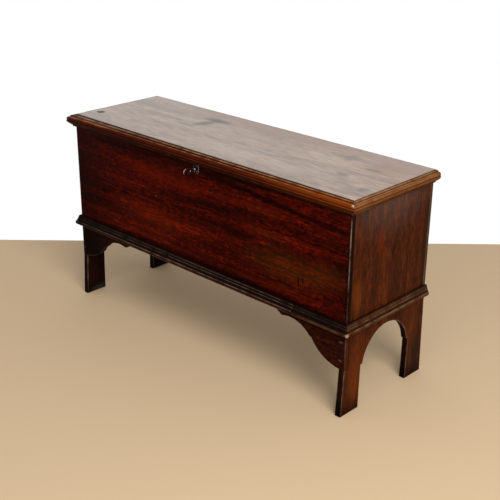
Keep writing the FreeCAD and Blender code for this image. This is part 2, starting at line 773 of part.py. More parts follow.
# Chest lock: plate, case, sliding bolt with hooks, and the catch plate whose staples the hooks enter

case_front = front + s.lock_skin
plate_front = inner - s.lock_plate_thick
works_middle = (case_front + s.lock_wall + plate_front) / 2
works_half = s.staple_at + s.staple_thick / 2 + s.bolt_throw + s.arm_width + s.lock_ease * 2
case_half = works_half + s.lock_wall
case_top = top - s.lock_plate_thick
case_foot = key_z - s.bit_reach - s.bolt_clear - s.lock_wall
plate_half = case_half + s.lock_margin
plate_foot = case_foot - s.lock_margin
bolt_top = top - s.staple_drop - s.lock_ease
bolt_foot = key_z + s.bit_reach + s.bolt_clear
eye_middle = top - s.staple_drop + s.staple_wall + s.eye_height / 2


def lock_nail(label, start, direction):
    return nail(label, s.lock_nail_length, s.lock_nail_head, s.lock_nail_tip, start, direction)


def make_lock_nails():
    made = []
    for side, sign in (("left", -1), ("right", 1)):
        for level, z in (("high", top - s.lock_margin), ("low", plate_foot + s.lock_margin / 2)):
            start = ((plate_half - s.lock_margin / 2) * sign, inner, z)
            made.append(lock_nail(f"lock_nail_{side}_{level}", start, "-Y"))
    return node(group("lock_nails", made))


def make_link_nails():
    made = []
    for name, sign in (("left", -1), ("middle", 0), ("right", 1)):
        x = (s.link_length / 2 - s.lock_nail_head) * sign
        made.append(lock_nail(f"link_nail_{name}", (x, works_middle, top), "+Z"))
    return node(group("link_nails", made))


lock_nails = make_lock_nails()
link_nails = make_link_nails()


def keyhole_tool():
    """The hole that the key's barrel and bit pass through, from the escutcheon to the lock case."""
    hole = s.key_radius + s.keyhole_ease
    slot = s.bit_thick / 2 + s.keyhole_ease
    ahead = front - s.key_plate_thick - s.lock_ease
    behind = case_front + s.lock_wall + s.lock_ease
    bore = cylinder("keyhole_bore", hole, behind - ahead, (0, ahead, key_z), "+Y")
    slit = box("keyhole_slit", (-slot, ahead, key_z - s.bit_reach - s.keyhole_ease), (slot, behind, key_z))
    return fuse("keyhole", [bore, slit])


keyhole = keyhole_tool()


def lock_plate():
    """The plate in the chest, with its top edge, the pin for the hollow key and two studs under the bolt."""
    face = box("lock_face", (-plate_half, plate_front, plate_foot), (plate_half, inner, top))
    edge = box("lock_edge", (-plate_half, case_front, case_top), (plate_half, inner, top))
    members = [face, edge]
    pin_length = plate_front - case_front - s.lock_wall - s.lock_ease
    members.append(cylinder("lock_drill_pin", s.drill_pin_radius, pin_length, (0, plate_front, key_z), "-Y"))
    stud_x = s.talon_gap / 2 + s.talon_width + s.bolt_throw / 2 + s.lock_ease + s.stud_radius
    stud_z = bolt_foot - s.bolt_rest - s.stud_radius
    for side, sign in (("left", -1), ("right", 1)):
        start = (stud_x * sign, plate_front, stud_z)
        members.append(cylinder(f"lock_stud_{side}", s.stud_radius, pin_length, start, "-Y"))
    slots = []
    slot_wide = s.staple_thick / 2 + s.slot_ease
    slot_deep = s.staple_width / 2 + s.lock_ease
    for side, sign in (("left", -1), ("right", 1)):
        x = s.staple_at * sign
        low = (x - slot_wide, works_middle - slot_deep, case_top - s.lock_ease)
        high = (x + slot_wide, works_middle + slot_deep, top + s.lock_ease)
        slots.append(box(f"lock_slot_{side}", low, high))
    return node(cut("lock_plate", fuse("lock_plate_blank", members), slots + [lock_nails]))


def lock_case():
    """The tray that closes the lock towards the wood, open at the plate and under its top edge."""
    tray = box("lock_tray", (-case_half, case_front, case_foot), (case_half, plate_front, case_top))
    low = (-works_half, case_front + s.lock_wall, case_foot + s.lock_wall)
    hollow = box("lock_hollow", low, (works_half, plate_front + s.lock_ease, case_top + s.lock_ease))
    return node(cut("lock_case", tray, [hollow, keyhole]))


def lock_bolt():
    """A flat bolt with two lugs for the key bit below and two hooks for the staples above."""
    arm_faces = []
    for sign in (-1, 1):
        staple_face = s.staple_at * sign - s.staple_thick / 2
        arm_faces.append((staple_face - s.bolt_throw - s.lock_ease, staple_face - s.hook_gap))
    talon_middle = -s.bolt_throw / 2
    left_end = arm_faces[0][0] - s.arm_width
    right_end = works_half - s.lock_ease - s.bolt_throw
    outline = [(left_end, bolt_foot)]
    for sign in (-1, 1):
        inner_face = talon_middle + (s.talon_gap / 2) * sign
        outer_face = inner_face + s.talon_width * sign
        first, second = (outer_face, inner_face) if sign < 0 else (inner_face, outer_face)
        lug_foot = bolt_foot - s.talon_drop
        outline += [(first, bolt_foot), (first, lug_foot), (second, lug_foot), (second, bolt_foot)]
    outline += [(right_end, bolt_foot), (right_end, bolt_top)]
    hook_foot = eye_middle - s.hook_height / 2
    hook_top = eye_middle + s.hook_height / 2
    for arm_face, hook_end in reversed(arm_faces):
        arm_back = arm_face - s.arm_width
        outline += [(arm_face, bolt_top), (arm_face, hook_foot), (hook_end, hook_foot)]
        outline += [(hook_end, hook_top), (arm_back, hook_top), (arm_back, bolt_top)]
    outline.pop()
    owner = body("lock_bolt")
    profile = sketch(owner, "lock_bolt_outline", "XZ_Plane", -works_middle - s.bolt_thick / 2, outline)
    pad(owner, profile, s.bolt_thick)
    return node(owner)


def link_plate():
    """The catch plate under the lid with its two eyed staples."""
    deep = s.link_width / 2
    low = (-s.link_length / 2, works_middle - deep, top)
    high = (s.link_length / 2, works_middle + deep, top + s.lock_plate_thick)
    members = [box("link_strip", low, high)]
    eyes = []
    for side, sign in (("left", -1), ("right", 1)):
        x = s.staple_at * sign
        wide = s.staple_thick / 2
        deep = s.staple_width / 2
        low = (x - wide, works_middle - deep, top - s.staple_drop)
        members.append(box(f"staple_{side}", low, (x + wide, works_middle + deep, top)))
        wide = wide + s.lock_ease
        deep = s.eye_width / 2
        low = (x - wide, works_middle - deep, eye_middle - s.eye_height / 2)
        eyes.append(box(f"eye_{side}", low, (x + wide, works_middle + deep, eye_middle + s.eye_height / 2)))
    blank = fuse("link_plate_blank", members)
    node(cut("link_plate", blank, eyes + [link_nails]))
    return box("link_recess", (-s.link_length / 2, works_middle - s.link_width / 2, top), high)


lock_plate()
lock_case()
lock_bolt()
link_recess = link_plate()

# Key: hollow barrel with a collar, bit, and an oval ring bow


def key():
    tip = plate_front - s.bolt_rest
    collar = front - s.key_collar_at
    bow_middle = front - s.key_reach + s.bow_length + s.bow_wire
    neck = bow_middle + s.bow_length - s.bow_wire / 2
    outline = [
        (0, tip),
        (s.key_radius, tip),
        (s.key_radius, collar),
        (s.key_collar_radius, collar),
        (s.key_collar_radius, collar - s.key_collar_width),
        (s.key_radius, collar - s.key_collar_width),
        (s.key_neck_radius, neck),
        (0, neck),
    ]
    shank = body("key_shank")
    profile = sketch(shank, "key_shank_profile", "XY_Plane", 0, outline)
    turn = shank.newObject("PartDesign::Revolution", "key_shank_turn")
    turn.Profile = profile
    turn.ReferenceAxis = (profile, ["V_Axis"])
    turn.Angle = 360
    place(shank, 0, 0, key_z)
    bit_low = (-s.bit_thick / 2, case_front + s.lock_wall + s.lock_ease, key_z - s.bit_reach)
    bit = box("key_bit", bit_low, (s.bit_thick / 2, tip, key_z - s.key_radius / 2))
    ring_path = doc.addObject("Part::Ellipse", "key_bow_path")
    bind(ring_path, "MajorRadius", s.bow_length)
    bind(ring_path, "MinorRadius", s.bow_height)
    place(ring_path, 0, bow_middle, key_z, Rotation(Vector(1, 1, 1), 120))
    ring_wire = doc.addObject("Part::RegularPolygon", "key_bow_wire")
    ring_wire.Polygon = 8
    bind(ring_wire, "Circumradius", s.bow_wire)
    place(ring_wire, 0, bow_middle + s.bow_length, key_z)
    bow = doc.addObject("Part::Sweep", "key_bow")
    bow.Sections = [ring_wire]
    bow.Spine = (ring_path, ["Edge1"])
    bow.Solid = True
    blank = fuse("key_blank", [shank, bit, bow])
    depth = tip - case_front - s.lock_wall
    bore = cylinder("key_bore", s.drill_pin_radius + s.pin_run, depth, (0, tip, key_z), "-Y")
    return node(cut("key", blank, [bore]))


key()

# Escutcheon: a small shield with the keyhole through it, held by two pins


def make_key_plate():
    wide = s.key_plate_width / 2
    shoulder = (wide, key_z + s.key_plate_rise)
    side = (wide, key_z - s.key_plate_side)
    point = (0, key_z - s.key_plate_drop)
    right_via = between(side, point, s.key_plate_bulge, -s.key_plate_bulge)
    outline = [
        (-wide, shoulder[1]),
        (-right_via[0], right_via[1]) + point,
        right_via + side,
        shoulder,
    ]
    outline.insert(1, (-wide, side[1]))
    owner = body("escutcheon_body")
    pad(owner, sketch(owner, "escutcheon_outline", "XZ_Plane", -front, outline), s.key_plate_thick)
    pins = []
    pin_length = s.key_plate_thick + s.lock_skin - s.lock_ease
    for name, sign in (("left", -1), ("right", 1)):
        x = (wide - s.key_pin_inset) * sign
        start = (x, front - s.key_plate_thick, shoulder[1] - s.key_pin_inset)
        pins.append(nail(f"escutcheon_pin_{name}", pin_length, s.pin_head, s.pin_tip, start, "+Y"))
    pins = node(group("escutcheon_pins", pins))
    node(cut("escutcheon", owner, [keyhole, pins]))
    return pins


escutcheon_pins = make_key_plate()

# Front, back and lid boards, with everything that is let into them

lock_recesses = fuse("lock_recesses", [
    box("recess_case", (-case_half, case_front, case_foot), (case_half, plate_front, case_top)),
    box("recess_edge", (-plate_half, case_front, case_top), (plate_half, inner, top)),
    box("recess_face", (-plate_half, plate_front, plate_foot), (plate_half, inner, top)),
    keyhole,
])
front_fixings = [front_nails, bottom_nails, base_moulding_pins, escutcheon_pins, lock_nails]
node(cut("front_board", front_blank, [lock_recesses] + front_fixings))
node(cut("back_board", back_blank, [back_nails, bottom_nails, leaf_nails]))

lid_blank = box("lid_blank", (-lid_side, lid_front, top), (lid_side, rear, lid_top))
lid_fixings = [lid_moulding_pins, strap_nails, link_nails]
node(cut("lid_board", lid_blank, strap_blanks + [link_recess] + lid_fixings))

# Build, check and write every piece

doc.recompute()
for thing in doc.Objects:
    if "Invalid" in thing.State or "Error" in thing.State:
        raise RuntimeError(f"{thing.Label} did not build: {thing.State}")
for thing in nodes:
    if thing.Shape.isNull() or not thing.Shape.isValid() or not thing.Shape.Solids:
        raise RuntimeError(f"{thing.Label} has no sound solid")

os.makedirs("parts", exist_ok=True)
for thing in nodes:
    thing.Shape.exportStep(f"parts/{thing.Label}.step")
print(f"{len(nodes)} pieces written")
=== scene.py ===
import json
import math
from functools import partial

import bmesh
import bpy
import numpy as np
from mathutils import Matrix, Vector


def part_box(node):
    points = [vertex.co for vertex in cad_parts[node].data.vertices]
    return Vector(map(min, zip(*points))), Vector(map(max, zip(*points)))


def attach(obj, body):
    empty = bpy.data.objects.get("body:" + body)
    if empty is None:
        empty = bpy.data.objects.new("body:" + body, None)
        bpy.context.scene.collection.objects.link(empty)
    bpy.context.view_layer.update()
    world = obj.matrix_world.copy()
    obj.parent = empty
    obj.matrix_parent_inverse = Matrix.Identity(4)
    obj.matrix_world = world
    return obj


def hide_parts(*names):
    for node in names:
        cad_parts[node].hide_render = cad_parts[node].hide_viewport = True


# Old boarded chest in polished mahogany with iron hinges, a steel lock and its key.
# Sizes are in millimetres until a mesh is made; -y is the front, +x the right, z is up.

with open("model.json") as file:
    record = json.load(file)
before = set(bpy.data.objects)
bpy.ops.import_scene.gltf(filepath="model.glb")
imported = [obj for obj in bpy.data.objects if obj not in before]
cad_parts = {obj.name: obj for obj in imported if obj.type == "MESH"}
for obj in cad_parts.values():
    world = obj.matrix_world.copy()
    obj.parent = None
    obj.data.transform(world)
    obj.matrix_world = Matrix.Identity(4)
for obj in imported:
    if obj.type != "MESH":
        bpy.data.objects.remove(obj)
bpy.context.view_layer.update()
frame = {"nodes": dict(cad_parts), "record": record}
mm = 0.001
rng = np.random.default_rng(41)  # one seed, so every run gives the same wear
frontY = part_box("front_board")[0].y / mm
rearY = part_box("back_board")[1].y / mm
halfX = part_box("front_board")[1].x / mm
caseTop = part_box("front_board")[1].z / mm
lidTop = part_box("lid_board")[1].z / mm
print("frame loaded", len(frame["nodes"]), "nodes")


# Mesh tools

def gridFaces(rows, columns, looped):
    # quads of a grid whose columns close on themselves; its rows do so too where looped, and otherwise a face
    # closes each end
    row = np.arange(rows if looped else rows - 1)[:, None]
    column = np.arange(columns)
    nextRow, nextColumn = (row + 1) % rows, (column + 1) % columns
    corners = (row * columns + column, row * columns + nextColumn,
               nextRow * columns + nextColumn, nextRow * columns + column)
    quads = np.stack(corners, -1).reshape(-1, 4).tolist()
    ends = [list(range(columns)), list(range((rows - 1) * columns, rows * columns))]
    return quads if looped else quads + ends


def bellBlur(values, reach, closed, spacing=1):
    # blurs values along their order by a bell curve, and round the end where closed;
    # reach is in the same unit as the spacing of the values
    count = len(values)
    steps = np.arange(count)
    gap = np.abs(steps[:, None] - steps[None, :])
    if closed:
        gap = np.minimum(gap, count - gap)
    weight = np.exp(-0.5 * (gap * spacing / reach) ** 2)
    return ((weight @ values).T / weight.sum(1)).T


def smoothNoise(count, reach, closed=False):
    # seeded random numbers, blurred over a number of steps and stretched to lie between -1 and 1
    blurred = bellBlur(rng.uniform(-1, 1, count), reach, closed)
    return blurred / max(np.abs(blurred).max(), 1e-6)


def newObject(name, data):
    made = bpy.data.objects.new(name, data)
    bpy.context.scene.collection.objects.link(made)
    return made


def closedMesh(name, shells):
    # shells are (grid, wear, looped): points in rows and columns, a number per point for each attribute, and
    # whether the last row joins the first
    points, faces = [], []
    for grid, wear, looped in shells:
        faces += [[i + len(points) for i in face] for face in gridFaces(*grid.shape[:2], looped)]
        points += (grid.reshape(-1, 3) * mm).tolist()
    mesh = bpy.data.meshes.new(name)
    mesh.from_pydata(points, [], faces)
    solid = bmesh.new()
    solid.from_mesh(mesh)
    bmesh.ops.recalc_face_normals(solid, faces=solid.faces)
    solid.to_mesh(mesh)
    solid.free()
    return mesh


def addPiece(name, shells, body, nodes, material):
    mesh = closedMesh(name, shells)
    for key in ("worn", "grime"):
        layer = mesh.attributes.new(key, "FLOAT", "POINT")
        values = [np.ravel(wear.get(key, np.zeros(grid.shape[:2]))) for grid, wear, looped in shells]
        layer.data.foreach_set("value", np.concatenate(values).astype(np.float32))
    mesh.polygons.foreach_set("use_smooth", np.ones(len(mesh.polygons), bool))
    ways = np.zeros(3 * len(mesh.polygons), np.float32)
    mesh.polygons.foreach_get("normal", ways)
    facing = mesh.attributes.new("faceWay", "FLOAT_VECTOR", "FACE")  # where each face looks at rest
    facing.data.foreach_set("vector", ways)
    mesh.materials.append(material)
    piece = newObject(name, mesh)
    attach(piece, body)
    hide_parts(*nodes)
    return piece


crispDegrees = 40  # edges of a carved piece that are sharper than this stay crisp


def carve(piece, cutters):
    # takes closed shells out of a piece for good
    for cutter in cutters:
        tool = newObject("cutter", closedMesh("cutter", [cutter]))
        cut = piece.modifiers.new("carve", "BOOLEAN")
        cut.operation = "DIFFERENCE"
        cut.solver = "EXACT"
        cut.object = tool
        bpy.context.view_layer.update()
        carved = bpy.data.meshes.new_from_object(piece.evaluated_get(bpy.context.evaluated_depsgraph_get()))
        piece.modifiers.clear()
        spent = [piece.data, tool.data]
        piece.data = carved
        carved.name = piece.name
        bpy.data.objects.remove(tool)
        for mesh in spent:
            bpy.data.meshes.remove(mesh)
    piece.data.set_sharp_from_angle(angle=math.radians(crispDegrees))


def rectangle(low, high):
    return [(low[0], low[1]), (high[0], low[1]), (high[0], high[1]), (low[0], high[1])]


def boxShell(low, high):
    # four corners below and four above
    return np.array([[(*corner, z) for corner in rectangle(low, high)] for z in (low[2], high[2])]), {}, False


def barShell(radius, low, high, z, count):
    # a round bar along y: two rings of points
    around = np.linspace(0, 2 * math.pi, count, endpoint=False)
    ring = np.stack([radius * np.cos(around), np.zeros(count), z + radius * np.sin(around)], -1)
    return np.stack([ring + [0, y, 0] for y in (low, high)]), {}, False


def winding(points):
    # 1 for a closed line that runs anticlockwise, -1 for one that runs clockwise
    following = np.roll(points, -1, 0)
    area = np.sum(points[:, 0] * following[:, 1] - following[:, 0] * points[:, 1])
    return 1 if area > 0 else -1


def arcPoints(start, via, end, step):
    # points of the circle through three points, from start to end, about one step apart
    a, b, c = three = np.array([start, via, end], float)
    middle = np.linalg.solve(2 * (three[1:] - a), [b @ b - a @ a, c @ c - a @ a])
    radius = np.linalg.norm(a - middle)
    first, last = (math.atan2(y, x) for x, y in (a - middle, c - middle))
    turn = winding(three)
    sweep = (last - first) * turn % (2 * math.pi)
    count = max(3, int(round(sweep * radius / step)))
    around = first + turn * np.linspace(0, sweep, count + 1)[1:]
    return middle + radius * np.stack([np.cos(around), np.sin(around)], -1)


def outline(corners, step, margin):
    # a closed line: straight runs are divided about every step, but never nearer than margin to a corner
    points = []
    for index, corner in enumerate(corners):
        start = np.array(corners[index - 1][-2:], float)
        end = np.array(corner[-2:], float)
        if len(corner) == 4:
            points.append(arcPoints(start, corner[:2], end, step))
            continue
        length = np.linalg.norm(end - start)
        count = int((length - 2 * margin) / step)
        if count >= 1:
            shares = np.linspace(margin / length, 1 - margin / length, count + 1)
            points.append(start + shares[:, None] * (end - start))
        points.append(end[None, :])
    return np.concatenate(points)


def insetLine(points, inset):
    # moves a closed line inwards: each point slides along the corner's bisector by inset over its cosine
    normals = []
    for edge in (points - np.roll(points, 1, 0), np.roll(points, -1, 0) - points):
        inward = winding(points) * np.stack([-edge[:, 1], edge[:, 0]], -1)
        normals.append(inward / np.linalg.norm(edge, axis=1)[:, None])
    share = 1 + np.sum(normals[0] * normals[1], 1)
    return points + np.asarray(inset).reshape(-1, 1) * (normals[0] + normals[1]) / share[:, None]


def turned(shell, order, origin, signs):
    # sends a shell's (across, up, deep) to the chest's axes named by order, from an origin
    points, wear, looped = shell
    placed = np.zeros_like(points)
    for source, target in enumerate(order):
        placed[..., target] = origin[target] + signs[source] * points[..., source]
    return placed, wear, looped


# Materials

def linearColour(hexText):
    # sRGB hex to linear light
    parts = [int(hexText[i:i + 2], 16) / 255 for i in (1, 3, 5)]
    return tuple(c / 12.92 if c <= 0.04045 else ((c + 0.055) / 1.055) ** 2.4 for c in parts) + (1.0,)


def addNode(tree, kind, settings, inputs, output=None):
    # one node: its own settings, then its inputs, which are values, hex colours or the sockets that feed them
    node = tree.nodes.new("ShaderNode" + kind)
    for key, value in settings.items():
        if key == "stops":
            band = node.color_ramp.elements
            while len(band) < len(value):
                band.new(0.5)
            for element, (position, colour) in zip(band, value):
                element.position, element.color = position, linearColour(colour)
        else:
            setattr(node, key, value)
    for key, value in inputs.items():
        if isinstance(value, bpy.types.NodeSocket):
            tree.links.new(value, node.inputs[key])
        else:
            node.inputs[key].default_value = linearColour(value) if isinstance(value, str) else value
    return node.outputs[output] if output else next((out for out in node.outputs if out.enabled), None)


def newMaterial(name):
    # an empty material, the node function tied to it, and its Object coordinates
    material = bpy.data.materials.new(name)
    material.use_nodes = True
    material.node_tree.nodes.clear()
    add = partial(addNode, material.node_tree)
    return material, add, add("TexCoord", {}, {}, "Object")


mixed = {"data_type": "RGBA"}
times, plus = {"operation": "MULTIPLY"}, {"operation": "MULTIPLY_ADD"}
timesClamped, plusClamped = dict(times, use_clamp=True), dict(plus, use_clamp=True)


def perAxis(axis, value, others=1.0):
    # three factors, one for the grain's axis and another for the two axes across it
    return [value if i == axis else others for i in range(3)]


def markShare(add, place, mark):
    # a soft ragged blot: 1 inside an ellipsoid about a point, 0 outside, its edge shaken by noise
    ragged = add("TexNoise", {}, {"Vector": place, "Scale": 1000 / mark["raggedMm"], "Detail": 3.0}, "Color")
    shift = [-mm * (c + mark["shakeMm"]) for c in mark["at"]]
    shaken = add("VectorMath", plus, {0: ragged, 1: [2 * mm * mark["shakeMm"]] * 3, 2: place})
    local = add("VectorMath", {"operation": "ADD"}, {0: shaken, 1: shift})
    if "turn" in mark:
        turn = {"Vector": local, "Rotation": mark["turn"]}
        local = add("VectorRotate", {"rotation_type": "EULER_XYZ"}, turn)
    local = add("VectorMath", times, {0: local, 1: [1000 / s for s in mark["size"]]})
    away = add("VectorMath", {"operation": "LENGTH"}, {0: local})
    return add("MapRange", {"interpolation_type": "SMOOTHSTEP"},
               {"Value": away, "From Min": 1.0, "From Max": mark["core"], "To Max": mark["share"]})


# what all the wood shares; a range says where an effect starts and where it is full
woodDetail = {
    "figure": {"Detail": 3.0, "Roughness": 0.55, "Distortion": 0.5},
    "ripple": {"Detail": 4.0, "Roughness": 0.6, "Distortion": 0.8},
    "rings": {"Detail": 3.0, "Roughness": 0.6, "Scale": 1.0}, "fibre": {"Detail": 3.0, "Roughness": 0.7},
    "poreStretch": 1 / 18, "poreRange": {"From Min": 0.56, "From Max": 0.72}, "poreDip": -0.5,
    "endRange": {"From Min": 0.8, "From Max": 0.97},
    "patchMm": 30, "patchRange": {"From Min": 0.3, "From Max": 0.65},
    "footRange": {"From Min": 55 * mm, "From Max": 0.0, "To Max": 0.8}, "bareFadeMm": 4,
    "frontRange": {"From Min": 0.6, "From Max": 0.9}, "smearMm": 60,
    "smearRange": {"From Min": 0.25, "From Max": 0.75}, "dirtRough": 0.3, "ior": 1.5,
    "grainBump": {"Strength": 0.3, "Distance": 0.3 * mm},
    "planedMm": 80, "planedBump": {"Strength": 0.3, "Distance": 2.5 * mm},
}


def mahogany(name, look):
    # old waxed mahogany, planed by hand: soft red-brown figure drawn out along the grain, uneven ring bands,
    # dark pore lines, ripple across the grain, rubbed pale arrises, black dirt in the quirks, painted shade
    # and highlights
    material, add, place = newMaterial(name)
    axis, detail = look["grain"], woodDetail
    shifted = {"Vector": place, "Location": look["shift"]}
    flow, ripple = (add("Mapping", {}, dict(shifted, Scale=perAxis(axis, look[key])))
                    for key in ("stretch", "rippleStretch"))
    figure = add("TexNoise", {}, dict(detail["figure"], Vector=flow, Scale=1000 / look["figureMm"]))
    ripple = add("TexNoise", {}, dict(detail["ripple"], Vector=ripple, Scale=1000 / look["rippleMm"]))
    # rings lie at distances from the tree's middle, which wander with the figure
    fromPith = add("VectorMath", {"operation": "SUBTRACT"}, {0: place, 1: [c * mm for c in look["pith"]]})
    fromPith = add("VectorMath", times, {0: fromPith, 1: perAxis(axis, look["lean"])})
    radius = add("VectorMath", {"operation": "LENGTH"}, {0: fromPith})
    radius = add("Math", plus, {0: figure, 1: look["wanderMm"] * mm, 2: radius})
    ringPlace = add("Math", times, {0: radius, 1: 1000 / look["ringMm"]})
    rings = add("TexNoise", {"noise_dimensions": "1D"}, dict(detail["rings"], W=ringPlace))
    fibre = add("TexNoise", {}, dict(detail["fibre"], Vector=flow, Scale=1000 / look["fibreMm"]))
    tone = 0.5 - 0.5 * sum(look["shares"])
    for layer, share in zip((figure, ripple, rings, fibre), look["shares"]):
        tone = add("Math", plus, {0: layer, 1: share, 2: tone})
    colour = add("ValToRGB", {"stops": look["colours"]}, {"Fac": tone})
    # real pores are 0.2 mm wide, too fine for the picture, so they are drawn wider
    pores = add("Mapping", {}, {"Vector": place, "Scale": perAxis(axis, detail["poreStretch"])})
    pores = add("TexNoise", {}, {"Vector": pores, "Scale": 1000 / look["poreMm"], "Detail": 2.0})
    pores = add("MapRange", {}, {**detail["poreRange"], "Value": pores})
    poreShare = add("Math", times, {0: pores, 1: look["poreShare"]})
    colour = add("Mix", mixed, {0: poreShare, 6: colour, 7: look["poreColour"]})
    # end grain is darker
    facing = add("Attribute", {"attribute_name": "faceWay"}, {}, "Vector")
    cutEnd = add("VectorMath", {"operation": "DOT_PRODUCT"}, {0: facing, 1: perAxis(axis, 1.0, 0.0)}, "Value")
    cutEnd = add("Math", {"operation": "ABSOLUTE"}, {0: cutEnd})
    cutEnd = add("MapRange", {}, {**detail["endRange"], "Value": cutEnd, "To Max": look["endGrain"]})
    colour = add("Mix", mixed, {0: cutEnd, 6: colour, 7: look["endColour"]})
    # stains, worn places, painted shade and painted highlights, some of which have lost their wax
    wax = look["wax"]
    for mark in look["marks"]:
        share = markShare(add, place, mark)
        blend = dict(mixed, blend_type=mark.get("blend", "MIX"))
        colour = add("Mix", blend, {0: share, 6: colour, 7: mark["colour"]})
        if "dull" in mark:
            bare = add("Math", plus, {0: share, 1: -mark["dull"], 2: 1.0})
            wax = add("Math", times, {0: bare, 1: wax})
    # rubbed arrises and ridges, in patches; on the mouldings they also stand for painted highlight lines
    worn = add("Attribute", {"attribute_name": "worn"}, {}, "Fac")
    patchy = add("TexNoise", {}, {"Vector": place, "Scale": 1000 / detail["patchMm"], "Detail": 3.0})
    patchy = add("MapRange", {}, {**detail["patchRange"], "Value": patchy, "To Max": look["wear"]})
    rubbed = add("Math", timesClamped, {0: worn, 1: patchy})
    colour = add("Mix", mixed, {0: rubbed, 6: colour, 7: look["wornAndHighlitColour"]})
    height = add("SeparateXYZ", {}, {0: place}, "Z")
    if look["bareBelow"]:
        top = look["bareBelow"] * mm
        foot = top - detail["bareFadeMm"] * mm
        bareShare = add("MapRange", {}, {"Value": height, "From Min": top, "From Max": foot})
        tint = dict(mixed, blend_type="MULTIPLY")
        colour = add("Mix", tint, {0: bareShare, 6: colour, 7: look["bareTint"]})
        waxed = add("Math", {"operation": "SUBTRACT"}, {0: 1.0, 1: bareShare})
        wax = add("Math", times, {0: waxed, 1: wax})
    # dirt in hollows and joints and near the floor, with painted shade below moulding noses and on faces that
    # look to the front
    grime = add("Attribute", {"attribute_name": "grime"}, {}, "Fac")
    footDirt = add("MapRange", {}, {**detail["footRange"], "Value": height})
    frontWay = add("VectorMath", {"operation": "DOT_PRODUCT"}, {0: facing, 1: (0, -1, 0)}, "Value")
    frontWay = add("MapRange", {}, {**detail["frontRange"], "Value": frontWay, "To Max": look["frontFacingShade"]})
    # this sum holds both dirt and painted shade
    dirty = add("Math", plus, {0: grime, 1: look["dirt"], 2: footDirt})
    dirty = add("Math", {"operation": "ADD", "use_clamp": True}, {0: dirty, 1: frontWay})
    colour = add("Mix", mixed, {0: dirty, 6: colour, 7: look["dirtAndShadeColour"]})
    if look["wax"]:
        bare = add("Math", plus, {0: dirty, 1: -1.0, 2: 1.0})
        wax = add("Math", times, {0: bare, 1: wax})
    # smeared polish, open grain and the hollows left by the plane
    smear = add("TexNoise", {}, {"Vector": flow, "Scale": 1000 / detail["smearMm"], "Detail": 4.0})
    low, high = look["rough"]
    rough = add("MapRange", {}, {**detail["smearRange"], "Value": smear, "To Min": low, "To Max": high})
    rough = add("Math", plusClamped, {0: dirty, 1: detail["dirtRough"], 2: rough})
    relief = add("Math", plus, {0: pores, 1: detail["poreDip"], 2: fibre})
    bump = add("Bump", {}, dict(detail["grainBump"], Height=relief))
    planed = add("TexNoise", {}, {"Vector": flow, "Scale": 1000 / detail["planedMm"], "Detail": 1.0})
    bump = add("Bump", {}, dict(detail["planedBump"], Height=planed, Normal=bump))
    shader = add("BsdfPrincipled", {}, {
        "Base Color": colour, "Roughness": rough, "Normal": bump, "IOR": detail["ior"],
        "Specular IOR Level": look["shine"], "Coat Weight": wax, "Coat Roughness": look["waxRough"],
    })
    add("OutputMaterial", {}, {"Surface": shader})
    return material


plainBlot = {"core": 0.3, "raggedMm": 30, "shakeMm": 8}


def blot(at, size, colour, share, **edge):
    # a mark about a place, with half sizes; edge says how it differs from a plain one
    return {**plainBlot, "at": at, "size": size, "colour": colour, "share": share, **edge}


def tones(*colours):
    # the wood's colours from darkest to palest, each with its place on the scale of tones
    return list(zip((0.0, 0.3, 0.5, 0.7, 1.0), colours))


